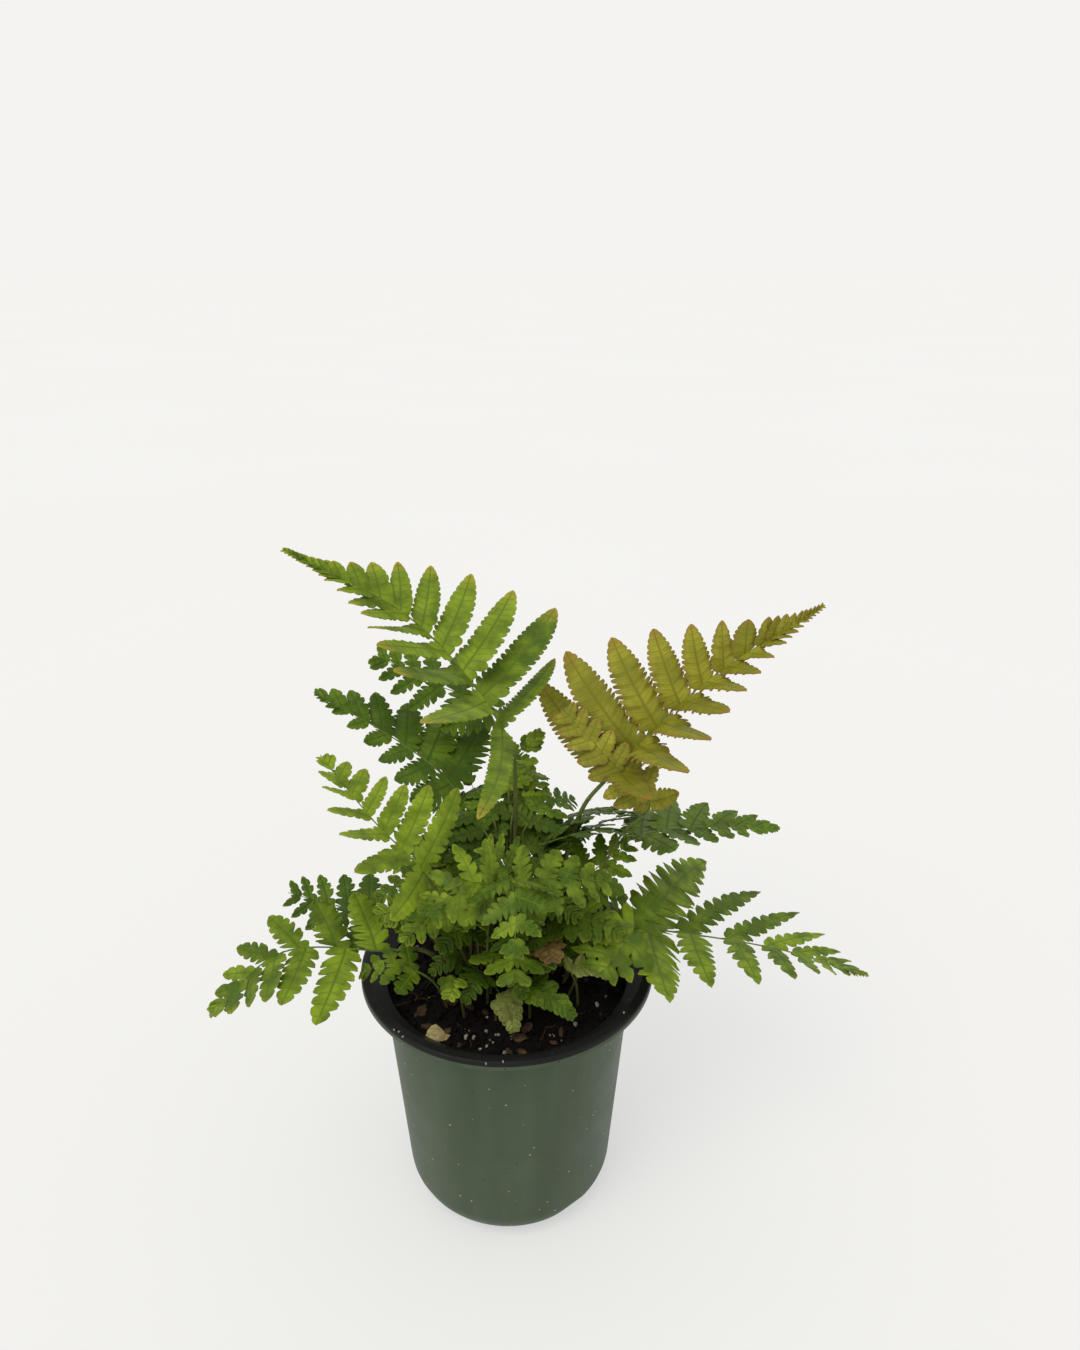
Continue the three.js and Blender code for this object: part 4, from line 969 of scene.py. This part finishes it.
def leaflet_places(frond):
    """each leaflet's side, and its share of the way from the blade's foot to its tip"""
    places = []
    for k in range(frond["pairs"]):
        even = k / frond["pairs"]
        for side in (1, -1):
            offset = STAGGER / frond["pairs"] * (1 - even) if side < 0 else 0
            places.append((side, min(even * (1 + CROWD * (1 - even)) + offset, LAST)))
    return places


def fill_tip(stem, places):
    """adds leaflets where the small ones near the tip would leave the midrib bare"""
    filled = list(places)
    for side in (1, -1):
        shares = [share for which, share in places if which == side] + [1]
        for near, far in zip(shares, shares[1:]):
            length = leaflet_axis(stem, side, (near + far) / 2)["length"]
            steps = min(MOST_FILLED, round((far - near) * stem.blade_length / (TOUCHING * length)))
            if is_joined(stem.frond, near):
                filled += [(side, near + (far - near) * k / steps) for k in range(1, steps)]
    return filled


def is_joined(frond, share):
    """whether a leaflet is so small that it's a lobe of one plate"""
    longest = max(frond["reach"])
    return longest <= WHOLE or longest * (1 - share) ** frond["taper"] < JOINED


def leaflet_angle(frond, side, share):
    return radians(blend(frond["angle"], share) + of_side(frond.get("lean", (0, 0)), side))


def raised(up, left, side, degrees):
    """the way outwards on a side, and its normal, folded up by degrees"""
    raise_by = radians(degrees)
    return (left * side * cos(raise_by) + up * sin(raise_by),
            up * cos(raise_by) - left * side * sin(raise_by))


def leaflet_axis(stem, side, share, bend=0, size=1, roll=0):
    """where a leaflet starts, the way it points and faces, and its measures"""
    frond = stem.frond
    point, tangent, up, left = stem.frame(BARE + (1 - BARE) * share, roll)
    angle = leaflet_angle(frond, side, share)
    outward, normal = raised(up, left, side, of_side(frond["fold"], side) + bend)
    length = size * of_side(frond["reach"], side) * ((1 - share) ** frond["taper"] + LEAST)
    step = (1 + CROWD * (1 - 2 * share)) / frond["pairs"]
    return dict(point=point, tangent=tangent, normal=normal, length=length,
                direction=tangent * cos(angle) + outward * sin(angle),
                half=min(FILL * step * stem.blade_length * sin(angle), SLIM * length),
                spread=FILL * step * radians(frond["angle"][0] - frond["angle"][1]) * length)


def leaflet_frame(axis, share, curl=0):
    """a place along a leaflet, which droops and sweeps towards the tip, its way across and its normal"""
    length = axis["length"]
    place = (axis["point"] + axis["direction"] * length * share
             - axis["normal"] * length * (DROOP * share ** 2 + curl * share ** 3)
             + axis["tangent"] * SWEEP * length * share ** 2)
    forward = (axis["direction"] - axis["normal"] * (2 * DROOP * share + 3 * curl * share ** 2)
               + axis["tangent"] * 2 * SWEEP * share).normalized()
    across = axis["normal"].cross(forward).normalized()
    return place, across, forward.cross(across)


def leaflet_half(axis, share, look, broad):
    """half width of a leaflet's outline, without its notches"""
    length, half = axis["length"], axis["half"]
    blunt = look["blunt"]
    if blunt is None:
        blunt = clamp((SLENDER - length / (2 * half)) / (SLENDER - STOUT), 0, 1)
    pointed = (1 - share ** POINTED[0]) ** POINTED[1]
    rounded = sqrt(1 - share ** ROUNDED)
    foot = clamp(NARROW_FOOT + (1 - NARROW_FOOT) * share / 0.1, 0, 1)
    short = clamp((SHORT - length) / (SHORT - SHORTEST), 0, 1)
    broad = min(broad, blend(WIDEST, short) * length / half)
    return broad * (half + axis["spread"] * share) * foot * (pointed * (1 - blunt) + rounded * blunt)


# ---------------------------------------------------------------- fronds: finding the frame's bends
def solid_of(name):
    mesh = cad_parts[name].data
    corners = [vertex.co / MM for vertex in mesh.vertices]
    return BVHTree.FromPolygons(corners, [tuple(face.vertices) for face in mesh.polygons])


def distance(tree, spot):
    found = tree.find_nearest(spot)
    return found[3] if found[0] is not None else 1e3


def best(tries, miss):
    """the first try that lies on the frame's solid, or else the nearest"""
    worst = []
    for attempt in tries:
        off = miss(*attempt)
        if off < CLOSE:
            return attempt, off
        worst.append((off, len(worst), attempt))
    off, _, attempt = min(worst)
    return attempt, off


def find_leaflet(tree, stem, side, share):
    """the bend and size of one of the frame's leaflets"""

    def miss(bend, size):
        axis = leaflet_axis(stem, side, share, bend, size)
        return sum(distance(tree, leaflet_frame(axis, part)[0]) for part in (0.5, 0.8, 1)) / 3
    return best([(bend, size) for size in SIZES for bend in BENDS], miss)


def find_blade(tree, stem, pairs):
    """the roll and size of the frame's one-piece tip, or of a small frond's whole blade"""

    def miss(roll, size):
        total = 0
        for order, share in enumerate(pairs):
            gap = (pairs[order + 1] if order + 1 < len(pairs) else 1) - share
            point, _, up, left = stem.frame(BARE + (1 - BARE) * (share + LOBE_END * gap), roll)
            for side in (1, -1):
                reach = (leaflet_axis(stem, side, share, 0, size)["length"]
                         * sin(leaflet_angle(stem.frond, side, share)))
                outward, _ = raised(up, left, side, of_side(stem.frond["fold"], side))
                total += distance(tree, point + outward * reach * LOBE_INSIDE)
        return total / (2 * len(pairs))
    return best([(roll, size) for size in SIZES for roll in BENDS], miss)


# ---------------------------------------------------------------- fronds: leaflets
GRIDS = {}


def leaflet_grid(lobes):
    """a flat grid with rows for each lobe, modelled once for each number of lobes"""
    if lobes not in GRIDS:
        rows = ROWS * lobes + 2
        grid, faces = shape_of(primitive("grid", x_subdivisions=rows, y_subdivisions=len(COLUMNS) - 1,
                                         size=2))
        spots = [(round((corner.x + 1) / 2 * rows), round((corner.y + 1) / 2 * (len(COLUMNS) - 1)))
                 for corner in grid]
        GRIDS[lobes] = rows, spots, faces
    return GRIDS[lobes]


def lobe_edge(outline, row, side):
    """how far out the edge stands at a row, with the right side's lobes between the left side's"""
    return outline[(row + of_side((0, ROWS // 2), side)) % ROWS]


def inside_box(corner):
    """keeps a point within the frame's box, less the thickness of a leaflet"""
    return Vector([clamp(value, low / MM + BLADE, high / MM - BLADE)
                   for value, low, high in zip(corner, *CAD_BOX)])


class Leaflet:
    """one leaflet: its own measures, and where the corners of its grid come to lie"""

    def __init__(self, axis, side, look, joined, chance, place_on_frond):
        self.axis, self.side, self.look = axis, side, look
        length = axis["length"]
        long = clamp((length - LONG) / (LONGEST - LONG), 0, 1)
        lobes = max(1, round(length / (look["pitch"] * (1 + PITCH_GROWS * long))))
        length *= of_side(look["reach"], side)
        if place_on_frond < LOWEST:
            length *= of_side(look["first"], side)
        axis["length"] = self.length = length
        # from a third of the way up the frond, small leaflets run into each other
        merged = joined * clamp(2 * place_on_frond - 0.6, 0, 1) * look["merges"]
        self.wing = look["wing"] + WING * merged if joined else 0
        self.broad = blend(look["broad"], min(1, 6 * place_on_frond)) * (1 + JOINED_WIDER * merged)
        self.hugs = clamp(HUG * self.broad * axis["half"] / length, *FOOT_HUGS)
        # the looks of the frond's tip hold from five eighths of the way up
        tipward = min(1, 1.6 * place_on_frond)
        depth = blend(look["depth"], tipward) + DEEPER * long * look["depth"][1]
        depth *= clamp(length / SMALL, 0.35, 1)
        self.rows, self.spots, self.faces = leaflet_grid(lobes)
        self.twist = radians(chance.uniform(*TWIST))
        self.lie = radians(OVERLAP + chance.uniform(*TILT)) * side
        # the turn that would bring the leaflet level
        _, aside, normal = leaflet_frame(axis, 0.5)
        level = look["level"][:2] if side > 0 else look["level"][2:]
        self.lie -= atan2(aside.z, normal.z) * blend(level, tipward)
        self.curl = chance.uniform(*CURL)
        self.cup = chance.uniform(*CUP)
        # a random tone, with the frond's painted shade added, moves the leaflet's colour towards the
        # shade colour
        self.random_tone_and_painted_shade = clamp(chance.random() + look["dark"], 0, 1)
        self.age = 0.3 * place_on_frond ** 2
        self.start, self.end = (0.01 if joined else 0.02), 0.985
        self.ripple = chance.uniform(*RIPPLE)
        self.puff = chance.uniform(*PUFF)
        self.depths = [[depth * chance.uniform(*NOTCHES) for _ in range(lobes + 2)] for _ in range(2)]

    def widths(self, row, side, share):
        """half width at a row, without its notches and with them"""
        full = leaflet_half(self.axis, min(share, 0.9999), self.look, self.broad)
        if side != self.side:
            full *= 1 + EAR * exp(-(share / EAR_SHARE) ** 2)
        full *= 1 + self.wing * exp(-(share / WING_SHARE) ** 2)
        if row == 0:
            return full, full
        if row == self.rows:
            return full, TIP_HALF
        deep = of_side(self.depths, side)[(row - 1) // ROWS] * (1.3 - 0.8 * share)
        notch = min(deep, DEEPEST) * (1 - lobe_edge(self.look["outline"], row - 1, side))
        return full, full * (1 - notch)

    def corner(self, row, column):
        """where a corner of the grid lies, its place on the UV map, and its tint"""
        across = COLUMNS[column]
        side = 1 if across >= 0 else -1
        share = self.start + (self.end - self.start) * (row - 1) / (self.rows - 2)
        if row in (0, self.rows):
            share = row // self.rows
        full, wide = self.widths(row, side, share)
        if abs(across) < 1:
            wide = min(abs(across) * full, INSIDE_NOTCH * wide * abs(across) / INNER)
        # at its foot the leaflet's edge follows the midrib
        hug = clamp(1 - share / self.hugs, 0, 1) ** 1.3
        forward = clamp(share + SLANT * wide / self.length * (1 - share) * (1 - hug), 0, 1)
        place, aside, normal = leaflet_frame(self.axis, forward if row else 0, self.curl)
        turn = self.lie + self.twist * share
        aside, normal = (aside * cos(turn) + normal * sin(turn),
                         normal * cos(turn) - aside * sin(turn))
        aside = (aside * (1 - hug) + self.axis["tangent"] * -self.side * hug).normalized()
        # cupped, sunk along the rib, swollen between the side veins and rippled at the edge
        half = self.axis["half"]
        out = wide / max(1.3 * half, 0.1)
        swell = sin(pi * ((row - 1) % ROWS) / ROWS) if abs(across) == INNER else 0
        lift = (-self.cup * half * out * out - (0 if across else RIB_SINKS) + self.puff * swell
                + self.ripple * half * out ** 2 * cos(pi * (row - 1) / ROWS))
        age = clamp(self.look["ripe"] * share ** 5 + self.age, 0, 1)
        return (inside_box(place + aside * side * wide + normal * lift),
                ((row - 1) / ROWS, across), (age, self.random_tone_and_painted_shade, abs(across), 1))


class Sheet:
    """the leaflets of one frond, before they get their thickness"""

    def __init__(self):
        self.corners, self.faces, self.maps, self.tints = [], [], [], []

    def add_leaflet(self, leaflet):
        self.faces += faces_after(len(self.corners), leaflet.faces)
        for spot in leaflet.spots:
            corner, on_map, tint = leaflet.corner(*spot)
            self.corners.append(corner)
            self.maps.append(on_map)
            self.tints.append(tint)

    def piece(self, name, materials):
        piece = mesh_piece(name, self.corners, self.faces, materials)
        mesh = piece.data
        uv = mesh.uv_layers.new(name="blade")
        for loop in mesh.loops:
            uv.data[loop.index].uv = self.maps[loop.vertex_index]
        tint_corners(mesh, self.tints)
        return piece


def model_rod():
    """a straight rod one unit long, with rings along it, to be bent into every stem"""
    rod = primitive("cylinder", vertices=STEM_SIDES, radius=1, depth=1, location=(0, 0, 0.5))
    bpy.ops.object.mode_set(mode="EDIT")
    bpy.ops.mesh.select_mode(type="EDGE")
    bpy.ops.mesh.select_all(action="DESELECT")
    bpy.ops.object.mode_set(mode="OBJECT")
    corners = rod.data.vertices
    for edge in rod.data.edges:
        low, high = (corners[k].co.z for k in edge.vertices)
        edge.select = abs(high - low) > 0.5
    bpy.ops.object.mode_set(mode="EDIT")
    bpy.ops.mesh.subdivide(number_cuts=STEM_RINGS - 1)
    bpy.ops.mesh.select_mode(type="VERT")
    bpy.ops.object.mode_set(mode="OBJECT")
    return shape_of(rod)


ROD = model_rod()
# one papery scale: a slim needle with three sides
SCALE = shape_of(primitive("cone", vertices=3, radius1=0.16, radius2=0, depth=1, location=(0, 0, 0.5)))


def make_stem(stem, name, chance):
    corners, tints = [], []
    for corner in ROD[0]:
        along = corner.z
        point, tangent, up, left = stem.frame(along)
        radius = stem.radius(along) * (STALK if along < BARE else MIDRIB)
        groove = GROOVE if corner.x > 0.9 else 1
        corners.append(point + up * corner.x * radius * groove + left * corner.y * radius)
        tints.append((clamp((along - BROWN_FOOT) / (BARE - BROWN_FOOT), 0, 1), 0, 0, 1))
    faces = list(ROD[1])
    stem_faces = len(faces)
    for _ in range(SCALES[max(stem.frond["reach"]) > WHOLE]):
        along = chance.uniform(*SCALY) ** 1.4
        point, tangent, up, left = stem.frame(along)
        turn = chance.uniform(0, tau)
        out = up * cos(turn) + left * sin(turn)
        lean = chance.uniform(0.35, 1.0)
        ahead = (tangent + out * lean).normalized()
        aside = ahead.cross(out).normalized()
        size = chance.uniform(*SCALE_LENGTH) * (1 - 0.5 * along)
        start = len(corners)
        for corner in SCALE[0]:
            corners.append(point + out * stem.radius(along) * 0.8 + size * (
                ahead * corner.z + aside * corner.x + ahead.cross(aside) * corner.y * 0.4))
            tints.append((0, 0, 0, 1))
        faces += faces_after(start, SCALE[1])
    piece = mesh_piece(name, corners, faces, [STEM, SCALE_HAIR])
    for face in piece.data.polygons[stem_faces:]:
        face.material_index = 1
    piece.data.uv_layers.new(name="blade")
    tint_corners(piece.data, tints)
    pick(piece)
    bpy.ops.object.mode_set(mode="EDIT")
    bpy.ops.mesh.select_all(action="SELECT")
    bpy.ops.mesh.normals_make_consistent(inside=False)
    bpy.ops.object.mode_set(mode="OBJECT")
    return piece


def grow_leaflets(frond, stem, sheet, chance, tree=None):
    """adds a frond's leaflets to a sheet, bent as the frame's are where it has that frond"""
    # dark is painted shade where it is above zero, on the low fronds at the front and in the crown;
    # below zero it lightens a frond
    look = {**USUAL, "dark": frond.get("dark", 0), **LOOKS[frond["tone"]],
            **OWN_LOOKS.get(frond.get("name"), {})}
    places = leaflet_places(frond)
    pairs = [share for side, share in places if side > 0 and is_joined(frond, share)]
    roll, whole_size = 0, 1
    if pairs and tree:
        (roll, whole_size), _ = find_blade(tree, stem, pairs)
    for side, share in fill_tip(stem, places):
        joined = is_joined(frond, share)
        if joined or not tree:
            axis = leaflet_axis(stem, side, share, 0, whole_size, roll)
        else:
            (bend, size), off = find_leaflet(tree, stem, side, share)
            if off > LOST:
                continue
            axis = leaflet_axis(stem, side, share, bend, size)
        sheet.add_leaflet(Leaflet(axis, side, look, joined, chance, share))


def finish_frond(sheet, stems, name, tone):
    """gives the leaflets their thickness and paler underside, and joins them to their stems"""
    leaves = sheet.piece(name, LEAVES[tone])
    apply_modifier(leaves, "SOLIDIFY", thickness=BLADE * MM, offset=0, use_rim=True, material_offset=1)
    pick(*stems, leaves)
    bpy.ops.object.join()
    smooth(leaves, 75)
    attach(leaves, "root")
    return leaves


def make_frond(frond, seed):
    chance = random.Random(seed)
    stem = Stem(frond)
    sheet = Sheet()
    grow_leaflets(frond, stem, sheet, chance, solid_of(frond["name"]))
    stalk = make_stem(stem, frond["name"] + "_stem", chance)
    leaves = finish_frond(sheet, [stalk], frond["name"] + "_blade", frond["tone"])
    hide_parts(frond["name"])


# ---------------------------------------------------------------- the crown's small fronds
# small fronds that fill the crown, in rings: their directions in degrees (-90 faces the viewer),
# the foot's distance from the middle, height, how far a blade reaches outwards, length of a leaflet,
# tone, how much painted shade darkens its leaflets, which is most in the low rings, and the way the
# blades face
OPEN = ((0, -0.3, 0.9), (0, -0.4, 0.85))
EDGE_ON = ((0, 0.5, 0.86), (0, 0.5, 0.86))      # the viewer sees only their thin edges
CROWN = [
    ((-150, -118, -80, -40, -10, 165), 15, 108, 22, 9, "deep", 0.8, OPEN),
    ((-135, -95, -60, -25, 10, 50, 100, 150, 190), 9, 120, 26, 12, "deep", 0.7, OPEN),
    ((-160, -125, -75, -35, 0, 60, 120, 170), 6, 132, 27, 13, "bright", 0.5, OPEN),
    ((-178, 20, 55, 92, 128, 160), 8, 147, 27, 14, "deep", 0.3, OPEN),
    ((40, 80, 118, 150), 8, 160, 24, 13, "deep", 0.2, OPEN),
    ((172, 190, 207, 224), 16, 138, 34, 14, "bright", 0.35, OPEN),
    ((-8, -26), 16, 130, 32, 14, "bright", 0.35, OPEN),
    ((62, 84), 14, 166, 20, 9, "bright", 0.0, OPEN),
    ((0, 12, 24, 36), 14, 151, 40, 15, "deep", 0.9, EDGE_ON),
]
CROWN_CENTRE = Vector((0, 4, 0))
UP = Vector((0, 0, 1))


def crown_frond(turn, root, height, out, leaflet, tone, dark, face):
    """a small frond's row: its stem leans out in the direction of turn, and its blade arches over"""
    ahead = Vector((cos(turn), sin(turn), 0))
    foot = CROWN_CENTRE + ahead * root
    return dict(tone=tone, root=tuple((foot + ahead * 3).xy),
                neck=tuple(foot + UP * (height - 12)),
                foot=tuple(foot + ahead * 3 + UP * height),
                middle=tuple(foot + ahead * 0.55 * out + UP * (height + 6)),
                tip=tuple(foot + ahead * out + UP * (height + 2)),
                face=face, pairs=6, reach=(leaflet, leaflet),
                angle=(80, 48), fold=(0, 0), taper=0.6, dark=dark)


def make_crown():
    for number, (turns, root, height, out, leaflet, tone, dark, face) in enumerate(CROWN):
        chance = random.Random(300 + number)
        sheet, stalks = Sheet(), []
        for degrees in turns:
            turn = radians(degrees + chance.uniform(-6, 6))
            frond = crown_frond(turn, root, height + chance.uniform(-4, 4), out + chance.uniform(-3, 3),
                                leaflet, tone, dark + chance.uniform(-0.8, 0.4), face)
            stem = Stem(frond)
            grow_leaflets(frond, stem, sheet, chance)
            stalks.append(make_stem(stem, "crown_stem", chance))
        finish_frond(sheet, stalks, f"crown_fronds_{number + 1}", tone)


# a small bronze blade that stands in front of the tall right frond's foot
LOWER = dict(name="lower_blade", tone="bronze", root=(21, 1), neck=(40, 1, 152), foot=(54, 2, 171),
             middle=(41, 4, 186), tip=(21, 9, 208), face=((-0.3, -0.8, 0.5), (-0.3, -0.8, 0.5)),
             pairs=8, reach=(13, 13), angle=(84, 66), fold=(0, 0), taper=0.3)


def make_lower_blade():
    chance = random.Random(400)
    sheet, stem = Sheet(), Stem(LOWER)
    grow_leaflets(LOWER, stem, sheet, chance)
    finish_frond(sheet, [make_stem(stem, "lower_stem", chance)], "frond_tall_right_lower", "bronze")


# ---------------------------------------------------------------- the whole scene
make_camera()
make_stage()
make_light()
make_pot()
make_soil()
make_soil_bits()
make_roots()
for number, row in enumerate(FRONDS):
    make_frond(row, 100 + number)
make_crown()
make_lower_blade()
